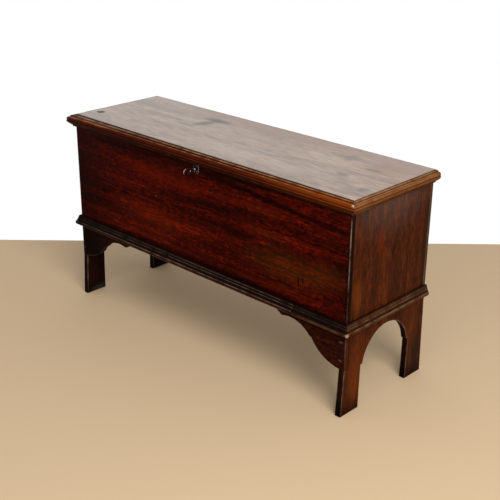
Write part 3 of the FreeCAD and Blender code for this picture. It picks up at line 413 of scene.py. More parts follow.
# kinds of blots: a glow is broad and faint, with the grain still showing
glow = {"core": 0.0, "raggedMm": 70, "shakeMm": 20, "blend": "ADD"}
cloud = {"core": 0.0, "raggedMm": 60, "shakeMm": 25}
speck = {"raggedMm": 8, "shakeMm": 3}
frontLook = {
    "grain": 0, "stretch": 1 / 14, "shift": (0.21, 0.0, 0.0), "figureMm": 55, "rippleStretch": 0.45,
    "rippleMm": 8,
    "pith": (0, 40, 900), "lean": 0.05, "wanderMm": 70, "ringMm": 15, "fibreMm": 3.6,
    "shares": (1.0, 1.3, 0.5, 1.1),
    "colours": tones("#110101", "#250301", "#3c0702", "#540f02", "#741f04"),
    "poreMm": 2.0, "poreShare": 0.45, "poreColour": "#120101", "endGrain": 0.8, "endColour": "#2a1a12",
    "wear": 1.3, "wornAndHighlitColour": "#a08676", "dirt": 0.9, "dirtAndShadeColour": "#070201", "frontFacingShade": 0.0,
    "rough": (0.3, 0.5), "shine": 0.015, "wax": 0.0, "waxRough": 0.3, "bareBelow": None,
    "marks": [
        blot((-170, -160, 528), (290, 40, 45), "#3f0a01", 1.0, **glow),
        blot((-190, -160, 375), (270, 40, 62), "#3a0e02", 0.9, **glow),
        blot((250, -160, 525), (150, 40, 24), "#300b02", 0.9, **glow),
        blot((360, -160, 380), (240, 40, 75), "#2c1804", 1.0, **glow),
        # painted shadow under the lid moulding, along the top of the front
        blot((0, -160, 596), (900, 40, 15), "#070101", 0.75, core=0.4),
        blot((-360, -160, 579), (260, 30, 17), "#0a0101", 0.8, turn=(0, -0.01, 0)),
        blot((110, -160, 573), (190, 30, 14), "#0a0101", 0.8, turn=(0, -0.06, 0)),
        blot((310, -160, 556), (200, 30, 13), "#0a0101", 0.85, turn=(0, -0.08, 0)),
        blot((500, -160, 543), (150, 30, 13), "#0a0101", 0.75, turn=(0, -0.05, 0)),
        blot((90, -160, 487), (230, 30, 14), "#100201", 0.7, turn=(0, 0.04, 0)),
        blot((-470, -160, 415), (170, 30, 28), "#120101", 0.6),
        blot((-334, -160, 430), (26, 30, 11), "#0a0101", 0.8),
        blot((262, -160, 489), (24, 30, 10), "#0a0101", 0.75),
        blot((546, -160, 436), (16, 30, 22), "#0a0101", 0.8),
        blot((403, -160, 353), (4, 30, 17), "#070101", 0.9, core=0.4, raggedMm=12, shakeMm=2),
        blot((418, -160, 361), (3, 30, 16), "#070101", 0.9, core=0.4, raggedMm=12, shakeMm=2),
        blot((330, -160, 331), (150, 30, 7), "#0d0201", 0.65),
        blot((-185, -160, 453), (7, 30, 4), "#8a5a46", 0.3, raggedMm=6, shakeMm=3),
        # painted shade: the front darkens towards the left, away from the light
        blot((-590, -160, 440), (260, 40, 300), "#100101", 0.85, core=0.0),
        blot((560, -160, 440), (110, 40, 300), "#180602", 0.4, core=0.0),
        blot((505, -160, 405), (95, 40, 55), "#2c1604", 0.8, **glow),
        blot((270, -160, 458), (95, 40, 26), "#2c1003", 0.8, **glow),
        # painted shadow under the lid moulding at the left, over a dark streak in the wood
        blot((-530, -160, 568), (110, 40, 40), "#0c0101", 0.55, core=0.0),
        blot((70, -160, 302), (560, 40, 36), "#100201", 0.55, core=0.0, raggedMm=60, shakeMm=12),
        blot((578, -160, 440), (20, 40, 300), "#0a0302", 0.75, core=0.2),
        blot((0, -160, 288), (900, 40, 18), "#080101", 0.7, core=0.2),
    ],
}
# the brackets take the front wood with darker colours: painted shade, for they stand in shadow below the base
# moulding
shadedBracketLook = dict(
    frontLook, shift=(0.4, 0.1, 0.3), endGrain=0.85, endColour="#48220c", wear=0.3,
    colours=tones("#0a0201", "#180602", "#280c04", "#391507", "#50210b"),
    marks=[
        # painted shade: the left bracket darker still, away from the light
        blot((-600, -160, 190), (280, 60, 160), "#060201", 0.95, core=0.2),
        blot((560, -160, 226), (11, 30, 4), "#5c585c", 0.7, raggedMm=8, shakeMm=2),
        blot((560, -160, 170), (11, 30, 4), "#5c585c", 0.7, raggedMm=8, shakeMm=2),
    ])
endLook = dict(
    frontLook, grain=2, stretch=1 / 10, shift=(0.0, 0.4, 0.13), figureMm=45, rippleMm=9, rippleStretch=0.4,
    pith=(900, 20, 300), shares=(0.6, 0.8, 0.35, 0.9),
    colours=tones("#180602", "#2e1004", "#441a06", "#5a2709", "#76370e"),
    poreColour="#170703", poreShare=0.5, wear=1.1, wornAndHighlitColour="#a98b78", endColour="#2a160c",
    frontFacingShade=0.85, shine=0.035,
    marks=[
        blot((576, -30, 487), (30, 26, 60), "#5e1406", 0.5),
        blot((576, 35, 450), (30, 9, 60), "#1a0803", 0.7, turn=(0.2, 0, 0)),
        blot((576, -28, 395), (30, 24, 60), "#351406", 0.5),
        blot((576, -120, 350), (30, 30, 70), "#70360a", 0.5),
        blot((576, 40, 335), (30, 40, 45), "#341506", 0.5),
        # painted sheen: a greyish haze added over the top of the right end
        blot((576, 20, 640), (40, 260, 190), "#3c3a37", 1.0, core=0.0, raggedMm=50, shakeMm=15, blend="ADD"),
        blot((576, -98, 580), (40, 17, 36), "#33302f", 0.85, core=0.1, raggedMm=14),
        blot((576, 185, 450), (40, 22, 220), "#1e0f08", 0.6, core=0.0),
        blot((576, -110, 100), (40, 60, 170), "#743406", 0.5, core=0.0),
        blot((576, 150, 160), (40, 50, 110), "#643008", 0.3, core=0.0),
        blot((576, 190, 60), (40, 70, 150), "#180c05", 0.7, core=0.0),
        # painted shade on the inner faces of the left legs
        blot((-556, -130, 60), (30, 95, 220), "#0b0504", 0.85, core=0.5),
        blot((-556, 170, 60), (30, 95, 220), "#0b0504", 0.85, core=0.5),
        # painted sheen: a pale bluish-grey gleam at the foot of the left front leg
        blot((-556, -112, 0), (30, 62, 26), "#5f5a55", 0.8, core=0.1, raggedMm=14, shakeMm=8),
    ])
# the lid's pale grey-brown tones are painted glare over its brown wood
lidLook = dict(
    frontLook, shift=(0.5, 0.2, 0.0), stretch=1 / 10, figureMm=60, rippleMm=20, rippleStretch=0.25,
    pith=(0, 40, 1500), ringMm=22, shares=(1.0, 0.7, 0.5, 1.1), fibreMm=5.0, poreMm=2.6, bareBelow=630,
    bareTint="#93806f",
    colours=tones("#533c2e", "#7a604e", "#957963", "#ab8f79", "#c9b09c"),
    poreColour="#3a2b23", poreShare=0.6, wornAndHighlitColour="#8a7264", endColour="#3d2a20", rough=(0.28, 0.5),
    shine=0.05, wax=1.0,
    marks=[
        blot((60, 175, 634), (640, 105, 30), "#7f4d27", 0.65, core=0.15, raggedMm=60, shakeMm=25),
        blot((340, 118, 634), (80, 36, 30), "#46301f", 0.65, core=0.0, raggedMm=40, shakeMm=25),
        blot((450, 98, 634), (90, 36, 30), "#573e2f", 0.5, core=0.0, raggedMm=40, shakeMm=25),
        # painted glare: a paler strip along the front of the lid
        blot((160, -70, 634), (430, 80, 30), "#c6ae9c", 0.35, core=0.0, raggedMm=80, shakeMm=40),
        blot((520, 100, 634), (160, 150, 30), "#8a5636", 0.6, core=0.0),
        blot((120, 60, 634), (160, 60, 30), "#80604a", 0.4, core=0.0, raggedMm=60, shakeMm=30),
        blot((-420, 110, 634), (140, 50, 30), "#84654f", 0.35, core=0.0, raggedMm=60, shakeMm=30),
        blot((-548, -76, 634), (17, 17, 30), "#12140f", 1.0, core=0.6, raggedMm=10, shakeMm=4, dull=0.8),
        blot((-198, 122, 634), (74, 28, 30), "#30332c", 0.8, core=0.2, raggedMm=18, shakeMm=12, dull=0.4),
        blot((-206, 76, 634), (30, 70, 30), "#34362f", 0.75, core=0.15, raggedMm=18, shakeMm=12, dull=0.4,
             turn=(0, 0, 0.25)),
        blot((-250, 20, 634), (60, 10, 30), "#2b2420", 0.65, core=0.3, raggedMm=20, shakeMm=6),
        blot((430, -20, 634), (34, 16, 30), "#3a2e27", 0.6),
        blot((467, 69, 634), (38, 16, 30), "#3a2e27", 0.6),
        blot((542, -76, 634), (26, 22, 30), "#3a2e27", 0.65),
        blot((120, -40, 634), (90, 24, 30), "#54443a", 0.2),
    ])
lidMouldingLook = dict(
    frontLook, shift=(0.8, 0.3, 0.2), figureMm=40, shares=(0.8, 0.3, 0.0, 0.5),
    marks=[
        blot((640, -178, 620), (500, 120, 120), "#8c410c", 0.7, core=0.1, raggedMm=120, shakeMm=30),
        blot((-470, -168, 632), (260, 18, 7), "#a5714d", 0.6, core=0.2, raggedMm=60, shakeMm=12),
        # painted highlights: pale glints on the arrises at the right mitre
        blot((592, -178, 628), (9, 9, 6), "#d2ad93", 0.8, **speck),
        blot((582, -166, 602), (9, 9, 7), "#c08a62", 0.8, **speck),
    ],
    colours=tones("#1f0501", "#360c02", "#4a1403", "#5e1f06", "#76310f"),
    wornAndHighlitColour="#bb8656", wear=1.0, dirt=1.0, dirtAndShadeColour="#0a0301", shine=0.02)
lidEndMouldingLook = dict(
    lidMouldingLook, grain=1, dirt=0.85, wornAndHighlitColour="#b98f66",
    colours=tones("#381a0a", "#562b12", "#6e3d1b", "#824f28", "#98653c"),
    marks=[
        # painted shade along the left end moulding
        blot((-592, 20, 630), (24, 400, 60), "#160905", 0.85, core=0.6),
        blot((586, -120, 599), (20, 60, 9), "#a06a3e", 0.8),
    ])
baseMouldingLook = dict(
    lidMouldingLook, dirtAndShadeColour="#050302",
    marks=[
        # painted shade: the base moulding darkens towards the left, away from the light
        blot((-620, -175, 270), (420, 60, 60), "#0a0402", 0.7, core=0.0),
        blot((591, -175, 259), (10, 10, 10), "#c99a80", 0.85, **speck),
        blot((391, -172, 274), (1.5, 14, 16), "#8c7264", 0.6, raggedMm=8, shakeMm=1),
    ],
    colours=tones("#0c0201", "#180501", "#250902", "#351204", "#48200c"),
    wornAndHighlitColour="#94745f", wear=0.95, shine=0.03)
baseEndMouldingLook = dict(
    baseMouldingLook, grain=1, wornAndHighlitColour="#98785c",
    colours=tones("#1a0b04", "#2f1507", "#43200a", "#582d0f", "#6e3f19"))
insideLook = dict(
    frontLook, shift=(0.1, 0.6, 0.4), shine=0.12, rough=(0.5, 0.7), ringMm=20, shares=(1.0, 0.4, 0.8, 0.8),
    marks=[
        blot((-260, 202, 340), (200, 60, 70), "#33281c", 0.45, **cloud),
        blot((330, 202, 520), (240, 60, 60), "#6d573d", 0.4, **cloud),
        blot((0, 202, 266), (900, 60, 40), "#221910", 0.65, core=0.0, raggedMm=60, shakeMm=15),
    ],
    colours=tones("#30241a", "#483726", "#5c4731", "#70583e", "#8a704f"),
    poreColour="#2a1e14", endColour="#3a2b1d", wear=0.35, wornAndHighlitColour="#8b7355")
frontWood = mahogany("waxed mahogany front", frontLook)
shadedBracketWood = mahogany("waxed mahogany brackets, darkened as painted shade", shadedBracketLook)
endWood = mahogany("waxed mahogany ends", endLook)
lidWood = mahogany("mahogany lid, paled by painted glare", lidLook)
lidMouldingWood = mahogany("waxed mahogany lid moulding", lidMouldingLook)
lidEndMouldingWood = mahogany("waxed mahogany lid moulding, ends", lidEndMouldingLook)
baseMouldingWood = mahogany("dirty mahogany base moulding", baseMouldingLook)
baseEndMouldingWood = mahogany("dirty mahogany base moulding, ends", baseEndMouldingLook)
insideWood = mahogany("bare inside wood", insideLook)


metalDetail = {
    "mottle": {"Detail": 4.0, "Roughness": 0.65}, "roughRange": {"From Min": 0.3, "From Max": 0.7},
    "bump": {"Strength": 0.4, "Distance": 0.3 * mm},
}


def metal(name, look):
    # hand-worked iron or steel: dull, mottled with dark oxide and brighter where it is handled and where a
    # painted highlight lies
    material, add, place = newMaterial(name)
    detail = metalDetail
    mottle = add("TexNoise", {}, dict(detail["mottle"], Vector=place, Scale=1000 / look["mottleMm"]))
    colour = add("ValToRGB", {"stops": look["colours"]}, {"Fac": mottle})
    worn = add("Attribute", {"attribute_name": "worn"}, {}, "Fac")
    colour = add("Mix", mixed, {0: worn, 6: colour, 7: look["bright"]})
    low, high = look["rough"]
    rough = add("MapRange", {}, {**detail["roughRange"], "Value": mottle, "To Min": low, "To Max": high})
    bump = add("Bump", {}, dict(detail["bump"], Height=mottle))
    shader = add("BsdfPrincipled", {}, {
        "Base Color": colour, "Metallic": look["metallic"], "Roughness": rough, "Normal": bump,
    })
    add("OutputMaterial", {}, {"Surface": shader})
    return material


iron = metal("forged iron", {
    "mottleMm": 5, "rough": (0.35, 0.6), "metallic": 0.9, "bright": "#8a8078",
    "colours": [(0.3, "#2a2320"), (0.55, "#57504a"), (0.75, "#857a70")]})
steel = metal("worn lock steel", {
    "mottleMm": 3, "rough": (0.2, 0.45), "metallic": 1.0, "bright": "#a8a49c",
    "colours": [(0.3, "#0c0a09"), (0.5, "#1b1816"), (0.75, "#3d3834")]})
nailIron = metal("rusty nail iron", {
    "mottleMm": 3, "rough": (0.5, 0.8), "metallic": 0.6, "bright": "#6b625b",
    "colours": [(0.3, "#0f0b09"), (0.55, "#241c17"), (0.75, "#3d322a")]})
print("materials made")

slotMaterial = {"wrought_iron": iron, "lock_steel": steel, "plain_wood": insideWood, "end_mahogany": endWood,
                "front_mahogany": frontWood, "moulding_mahogany": lidMouldingWood, "lid_mahogany": lidWood}
for part in frame["record"]["subparts"]:
    node = frame["nodes"][part["node"]]
    node.data.materials.clear()
    driven = part["node"].endswith(("_nails", "_pins"))
    node.data.materials.append(nailIron if driven else slotMaterial[part["material_slot"]])

# Boards with rubbed arrises

boardSoft = {"softness": 1.1, "nibble": 0.9, "step": 9.0, "margin": 2.5, "bends": 5, "chipReach": 3,
             "runReach": 9, "patchReach": 5, "rub": (0.7, 0.3), "patchy": (0.55, 0.45), "joinDirt": 0.75,
             "dirtSpread": 2.2, "dirtPatch": 0.15, "dirtHides": 1.4}


def slabShell(line, thick, fade, edgeDirt, joined, backRub):
    # a board: its outline carried through the thickness, drawn in over rounded arrises of radius softness;
    # the arris wears unevenly, so each point's radius swells with smooth noise by nibble,
    # and rubbing or dirt dies away over the distance fade; where joined is 1 the arris meets another board,
    # so it is dirty instead, and backRub is how much of the rubbing the far side gets
    s = boardSoft
    count = len(line)
    chips = np.abs(smoothNoise(count, s["chipReach"], True)) * (smoothNoise(count, s["runReach"], True) > 0)
    swell = s["softness"] + s["nibble"] * chips
    bend = np.linspace(0, math.pi / 2, s["bends"])[:, None]
    none = np.zeros((1, count))
    depths = np.concatenate([none, swell * (1 - np.cos(bend)), [swell + fade]])
    insets = np.concatenate([[swell + fade], swell * (1 - np.sin(bend)), none])
    worn = np.concatenate([none, s["rub"][0] + s["rub"][1] * np.sin(2 * bend) + none, none])
    depths = np.concatenate([depths, thick - depths[::-1]])
    insets = np.concatenate([insets, insets[::-1]])
    worn = np.concatenate([worn, backRub * worn[::-1]])
    rings = np.stack([insetLine(line, inset) for inset in insets])
    points = np.concatenate([rings, depths[:, :, None]], -1)
    patchy = s["patchy"][0] + s["patchy"][1] * smoothNoise(count, s["patchReach"], True)
    dirty = np.maximum(edgeDirt, s["joinDirt"] * joined)
    dirt = dirty * np.clip(worn * s["dirtSpread"], 0, 1) * (1 - s["dirtPatch"] + s["dirtPatch"] * patchy)
    rubbed = worn * patchy * (1 - np.clip(dirty * s["dirtHides"], 0, 1))
    return points, {"worn": rubbed, "grime": dirt}, False


def board(name, corners, deep, order, origin, body, nodeName, slot, material, signs=(1, 1, 1), fade=2.2,
          edgeDirt=0.0, meets=None, backRub=1.0):
    # corners lie in the board's own plane, and deep is its thickness away from origin
    line = outline(corners, boardSoft["step"], boardSoft["margin"] + fade)
    joined = meets(line) if meets else np.zeros(len(line))
    shell = slabShell(line, deep, fade, edgeDirt, joined, backRub)
    return addPiece(name, [turned(shell, order, origin, signs)], body, [nodeName], material)


def boxBoard(name, flat, body, nodeName, slot, material, **edge):
    # a plain board that fills its CAD box, with its thickness along the axis left out of flat
    low, high = (np.array(corner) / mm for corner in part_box(nodeName))
    deep = 3 - sum(flat)
    corners = rectangle(low[list(flat)], high[list(flat)])
    origin = np.zeros(3)
    origin[deep] = low[deep]
    thick = high[deep] - low[deep]
    return board(name, corners, thick, (*flat, deep), origin, body, nodeName, slot, material, **edge)


frontBoard = boxBoard("frontBoard", (0, 2), "carcass", "front_board", "front_mahogany", frontWood,
                      backRub=0.0)
lockSize = {"plateHalf": 45, "plateThick": 2, "plateFoot": 559.5, "caseHalf": 37, "caseFoot": 567.5,
            "skin": 3, "keyZ": 582, "holeRadius": 4.6, "slitHalf": 2.1, "slitFoot": 570.4, "past": 3,
            "through": 6, "around": 32}


def lockCutters():
    # room for the lock's plate, the plate's top edge and the case, then the round keyhole and its slit
    k = lockSize
    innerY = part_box("front_board")[1].y / mm
    back, top = innerY + k["past"], caseTop + k["past"]
    near, far = frontY - k["past"], frontY + k["through"]
    plate, case, slit, mortise = k["plateHalf"], k["caseHalf"], k["slitHalf"], frontY + k["skin"]
    return [
        boxShell((-plate, innerY - k["plateThick"], k["plateFoot"]), (plate, back, top)),
        boxShell((-plate, mortise, caseTop - k["plateThick"]), (plate, back, top)),
        boxShell((-case, mortise, k["caseFoot"]), (case, back, top)),
        barShell(k["holeRadius"], near, far, k["keyZ"], k["around"]),
        boxShell((-slit, near, k["slitFoot"]), (slit, far, k["keyZ"])),
    ]


carve(frontBoard, lockCutters())
boxBoard("backBoard", (0, 2), "carcass", "back_board", "plain_wood", insideWood)
boxBoard("bottomBoard", (0, 1), "carcass", "bottom_board", "plain_wood", insideWood)
# the lid's underside lies just above the let-in straps, by sink, so they show
lidSize = {"gap": 1.5, "sink": 0.3, "crack": 0.6}
lidJoint = {"front": -5.5, "left": 9.0, "right": 5.0}  # where the lid board meets each moulding
lidSkew = (-6.0, 6.0)  # and how far the front joint strays from there at its left and right ends
lidX, lidFront = halfX + lidSize["gap"], frontY - lidSize["gap"]
lidSides = (-lidX - lidJoint["left"] + lidSize["crack"], lidX + lidJoint["right"] - lidSize["crack"])
lidEdge = [lidFront - lidJoint["front"] - stray + lidSize["crack"] for stray in lidSkew]
lidLine = [(lidSides[0], lidEdge[0]), (lidSides[1], lidEdge[1]), (lidSides[1], rearY), (lidSides[0], rearY)]
lidFoot = caseTop + lidSize["sink"]
board("lidBoard", lidLine, lidTop - caseTop - lidSize["sink"], (0, 1, 2), (0, 0, lidFoot), "lid", "lid_board",
      "lid_mahogany", lidWood, fade=3.4, edgeDirt=0.95)

endSize = {"depth": 361, "thick": 19, "legWidth": 73, "legSplay": 3, "backLegWidth": 67, "backLegSplay": 2,
           "legFlare": 8, "spring": 135, "step": 8, "flat": 12.5, "frontThick": 14, "backThick": 11,
           "bracketFoot": 143, "boardFoot": 262, "joinNear": 0.5, "joinBelow": 1}


def endBoard(name, nodeName, x):
    # seen from the right: front leg, arch, back leg, and the notches for the back and front boards
    e = endSize
    backLeg, backEdge = e["depth"] - e["backLegWidth"], e["depth"] - e["backThick"]
    archFront, archBack = e["legWidth"] + e["step"], backLeg - e["step"]
    crown = e["spring"] + (archBack - archFront) / 2 - e["flat"]
    corners = [
        (-e["legFlare"], 0), (e["legWidth"] - e["legSplay"], 0), (e["legWidth"], e["spring"]),
        (archFront, e["spring"]), ((archFront + archBack) / 2, crown, archBack, e["spring"]),
        (backLeg, e["spring"]), (backLeg - e["backLegSplay"], 0), (e["depth"] + e["legFlare"], 0),
        (e["depth"], e["boardFoot"]), (backEdge, e["boardFoot"]), (backEdge, caseTop),
        (e["frontThick"], caseTop), (e["frontThick"], e["bracketFoot"]), (0, e["bracketFoot"]),
    ]

    def meets(line):
        # 1 where the end lies against the front or the back
        across, up = line.T
        joins = ((e["frontThick"], e["bracketFoot"]), (backEdge, e["boardFoot"]))
        near = [(np.abs(across - at) < e["joinNear"]) & (up > foot - e["joinBelow"]) for at, foot in joins]
        return (near[0] | near[1]).astype(float)

    board(name, corners, e["thick"], (1, 2, 0), (x, frontY, 0), "carcass", nodeName, "end_mahogany", endWood,
          meets=meets)


endBoard("leftEndBoard", "left_end_board", -halfX)
endBoard("rightEndBoard", "right_end_board", halfX - endSize["thick"])

# the bracket's curves are arcs, given as a point on the way and the end
bracketSize = {"reach": 258, "foot": 143, "top": 262, "thick": 14, "start": 19, "cusp": (129, 206),
               "belly": (79.5, 162.25, 120, 201.5), "hollow": (179, 234, 229, 232),
               "tip": (245.5, 240, 258, 252)}


def bracket(name, nodeName, sign):
    b = bracketSize
    corners = [(0, b["top"]), (0, b["foot"]), (b["start"], b["foot"]), b["belly"], b["cusp"], b["hollow"],
               b["tip"], (b["reach"], b["top"])]
    origin = (sign * halfX, frontY, 0)
    board(name, corners, b["thick"], (0, 2, 1), origin, "carcass", nodeName, "front_mahogany", shadedBracketWood,
          signs=(-sign, 1, 1), backRub=0.0)


bracket("bracketLeft", "bracket_left", -1)
bracket("bracketRight", "bracket_right", 1)
print("boards made")

# Mouldings: a section carried along the edge, mitred at the front corners

lidProfile = [
    (10.6, 4.4), (12.2, 4.4), (18.6, 8.0, 19.2, 14.0), (18.0, 14.8), (19.2, 15.4), (20.6, 18.5, 18.6, 22.0),
    (18.0, 22.6), (16.4, 25.2, 12, 27.8), (12, 29.6), (7.4, 31.6, 4.5, 35), (4.5, 37.5), (0, 37.5),
]
baseProfile = [
    (0, 4.4), (5.6, 4.4), (7.0, 5.8, 6.2, 7.2), (6.2, 7.8), (7.6, 7.8), (8.3, 12.0, 9.4, 15.2), (10.4, 15.6),
    (11.6, 20.2, 13.8, 24.2), (14.8, 24.6), (15.9, 28.6, 15.7, 31.6), (14.2, 35.8, 10, 38), (0, 38),
]
lidTopBead = {"out": 10.6, "foot": 3.0, "sink": 0.2, "crown": 0.9, "swell": 0.5, "rebate": 20.3,
              "tightRebate": 19.7}


def lidSection(inner):
    # the section with its joint to the lid board at inner, above a rebate as deep as that board, and a top
    # bead that rounds over from there
    b = lidTopBead
    start = max(inner, 0)
    foot = b["rebate"] if inner > 0 else b["tightRebate"]
    bead = ((start + b["out"]) / 2 + b["swell"], b["crown"], b["out"], b["foot"])
    return [(0, foot), (inner, foot), (inner, b["sink"]), (start, b["sink"]), bead] + lidProfile


mouldingWear = {
    "sample": 0.35, "soften": 0.5, "relief": 2.0, "spacing": 14, "skewOut": 16.0, "skewFall": 21.0,
    "ridge": (0.25, 0.3), "dent": 0.35, "dentReach": 0.8, "dentCut": (2, 0.9), "jointMm": 6.6,
    "jointFall": 10, "hollow": (0.25, 0.8), "bandFade": (3, 2), "rubClears": 0.8,
}
# where dirt and rubs lie on each section, the rubs standing also for painted highlight lines, as (out,
# fall, reach, share), and bands of dirt and painted shade by fall, as (from, to, share)
lidFrontWear = {
    "ridges": 0.15, "shadeAndDirtBands": [(16, 99, 0.72)], "skew": lidSkew,
    "dirt": [(9.2, 2.0, 1.6, 1.0), (18.2, 14.9, 1.6, 1.0), (18.8, 10.6, 3.0, 0.22)],
    "rubsAndHighlights": [(3.0, 0.6, 3.2, 0.9), (12.8, 4.6, 1.5, 0.95), (12.0, 29.4, 1.5, 0.42)],
}
lidEndWear = {
    "ridges": 0.25, "shadeAndDirtBands": [(16, 24, 0.3), (28, 99, 0.35)],
    "dirt": [(11.2, 4.0, 1.4, 0.9), (18.2, 14.9, 1.5, 0.8), (12.2, 28.7, 1.5, 0.9)],
    "rubsAndHighlights": [(6.5, 1.0, 3.4, 0.8), (13.4, 4.7, 1.4, 0.8), (18.6, 9.0, 3.0, 0.3)],
}
baseFrontWear = {
    "ridges": 0.1, "shadeAndDirtBands": [(-9, 24, 0.8), (37, 99, 0.5)], "along": ((-600, -420, -200), (0.35, 0.55, 1.0)),
    "dirt": [(0.5, 4.4, 1.6, 1.0), (6.4, 7.4, 1.0, 0.9), (8.8, 13.2, 1.5, 1.0), (13.0, 22.6, 2.0, 1.0)],
    "rubsAndHighlights": [(6.7, 4.2, 1.0, 0.3), (7.7, 8.4, 1.3, 0.75), (10.2, 15.8, 1.1, 0.7), (15.0, 25.6, 1.4, 0.7),
             (15.2, 33.4, 1.6, 0.3)],
}
baseShortWear = dict(
    baseFrontWear,
    dirt=[(0.5, 4.4, 1.6, 1.0), (6.4, 7.4, 1.0, 0.9), (8.8, 13.4, 1.2, 1.0), (13.4, 23.4, 3.0, 1.0)],
    rubsAndHighlights=[(7.8, 9.6, 1.5, 0.32), (10.3, 16.0, 1.4, 0.3), (15.6, 29.4, 1.8, 0.3), (14.8, 34.4, 1.8, 0.42)])
baseEndWear = {
    "ridges": 0.15, "shadeAndDirtBands": [(37, 99, 0.4)],
    "dirt": [(0.5, 4.4, 2.2, 1.0), (6.6, 7.2, 0.9, 0.6), (13.2, 23.0, 1.5, 0.8)],
    "rubsAndHighlights": [(6.8, 4.2, 1.0, 0.6), (7.9, 9.6, 4.0, 0.22), (10.3, 15.7, 1.1, 0.55), (15.2, 26.0, 1.6, 0.6),
             (15.8, 30.0, 4.0, 0.15)],
}


def sectionOf(corners):
    # the section as close points, blurred a little along its length so that every arris is rounded;
    # how far a point stands out from a stronger blur tells rubbed ridges from dirty hollows
    w = mouldingWear
    line = outline(corners, w["sample"], w["sample"])
    gaps = np.linalg.norm(np.roll(line, -1, 0) - line, axis=1)
    walked = np.concatenate([[0], np.cumsum(gaps)])
    even = np.linspace(0, walked[-1], int(walked[-1] / w["sample"]), endpoint=False)
    closed = np.concatenate([line, line[:1]])
    line = np.stack([np.interp(even, walked, closed[:, k]) for k in range(2)], -1)
    fine, broad = (bellBlur(line, w[key], True, w["sample"]) for key in ("soften", "relief"))
    ahead = np.roll(fine, -1, 0) - np.roll(fine, 1, 0)
    outward = np.stack([ahead[:, 1], -ahead[:, 0]], -1) / np.linalg.norm(ahead, axis=1)[:, None]
    outward = outward * winding(fine)
    return fine, outward, np.sum((fine - broad) * outward, 1)


def moulding(name, corners, wear, start, end, place, body, nodeName, material):
    # start and end give the length's two ends for each point of the section; place turns it into the chest
    w = mouldingWear
    section, outward, relief = sectionOf(corners)
    out, fall = section.T
    first, last = start(out), end(out)
    stations = int(np.max(np.abs(last - first)) / w["spacing"]) + 2
    along = first + np.linspace(0, 1, stations)[:, None] * (last - first)
    # dents lie here and there on the ridges
    ridge = np.clip((relief - w["ridge"][0]) / w["ridge"][1], 0, 1)
    dents = np.clip(smoothNoise(stations, w["dentReach"]) * w["dentCut"][0] - w["dentCut"][1], 0, 1)
    dents = dents[:, None] * ridge * w["dent"]
    # the inner edge strays along the length, and the bead takes up the rest out to skewOut
    slack = np.clip((w["skewOut"] - out) / (w["skewOut"] - out.min()), 0, 1) * (fall < w["skewFall"])
    stray = np.interp(along, (-lidX, lidX), wear.get("skew", (0.0, 0.0)))
    outs = out - dents * outward[:, 0] + stray * slack
    falls = fall - dents * outward[:, 1]
    points = np.stack(place(along, outs, falls), -1)
    # dirt lies along the inner edge, in hollows and near the places that wear names; the bands lay dirt and
    # painted shade by fall
    joint = np.exp(-((out - out.min()) / w["jointMm"]) ** 4) * (fall < w["jointFall"])

    def near(spots):
        at, drop, reach, most = np.array(spots).T
        away = np.hypot(out[:, None] - at, fall[:, None] - drop)
        return np.max(most * np.exp(-(away / reach) ** 2), 1)

    hollow = np.clip(-relief / w["hollow"][0], 0, 1) * w["hollow"][1]
    grime = np.maximum.reduce([hollow, joint, near(wear["dirt"])])
    fadeIn, fadeOut = w["bandFade"]
    for low, high, share in wear["shadeAndDirtBands"]:
        inBand = np.clip((fall - low) / fadeIn, 0, 1) * np.clip((high - fall) / fadeOut, 0, 1)
        grime = np.maximum(grime, share * inBand)
    rubbed = np.maximum(ridge * wear["ridges"], near(wear["rubsAndHighlights"])) * (1 - joint)
    worn = np.interp(along.mean(1), *wear.get("along", ((0,), (1.0,))))[:, None] * rubbed
    shell = (points, {"worn": worn, "grime": grime * (1 - w["rubClears"] * worn)}, False)
    return addPiece(name, [shell], body, [nodeName], material)


baseRun = {"top": 290, "short": 184, "crack": 0.15}  # the front length is butted from a long and a short one
baseJoint = halfX - baseRun["short"]


def frontRun(faceY, topZ):
    return lambda along, out, fall: (along, faceY - out, topZ - fall)


def endRun(faceX, topZ, sign):
    return lambda along, out, fall: (sign * (faceX + out), along, topZ - fall)


def mitreAt(value, sign, least=-99.0):
    # a mitred end, square for what lies further in than least
    return lambda out: value + sign * np.maximum(out, least)


def squareAt(value):
    return lambda out: np.full(len(out), float(value))


moulding("lidMouldingFront", lidSection(lidJoint["front"]), lidFrontWear,
         mitreAt(-lidX, -1, lidJoint["left"]), mitreAt(lidX, 1, lidJoint["right"]),
         frontRun(lidFront, lidTop), "lid", "lid_moulding_front", lidMouldingWood)
for sideName, sign in (("Left", -1), ("Right", 1)):
    side = sideName.lower()
    moulding("lidMoulding" + sideName, lidSection(lidJoint[side]), lidEndWear, mitreAt(lidFront, -1),
             squareAt(rearY), endRun(lidX, lidTop, sign), "lid", "lid_moulding_" + side, lidEndMouldingWood)
    moulding("baseMoulding" + sideName, baseProfile, baseEndWear, mitreAt(frontY, -1), squareAt(rearY),
             endRun(halfX, baseRun["top"], sign), "carcass", "base_moulding_" + side, baseEndMouldingWood)
baseFront = frontRun(frontY, baseRun["top"])
shortOf, past = squareAt(baseJoint - baseRun["crack"]), squareAt(baseJoint + baseRun["crack"])
moulding("baseMouldingFrontLong", baseProfile, baseFrontWear, mitreAt(-halfX, -1), shortOf, baseFront,
         "carcass", "base_moulding_front_long", baseMouldingWood)
moulding("baseMouldingFrontShort", baseProfile, baseShortWear, past, mitreAt(halfX, 1), baseFront,
         "carcass", "base_moulding_front_short", baseMouldingWood)
print("mouldings made")

# Key and escutcheon

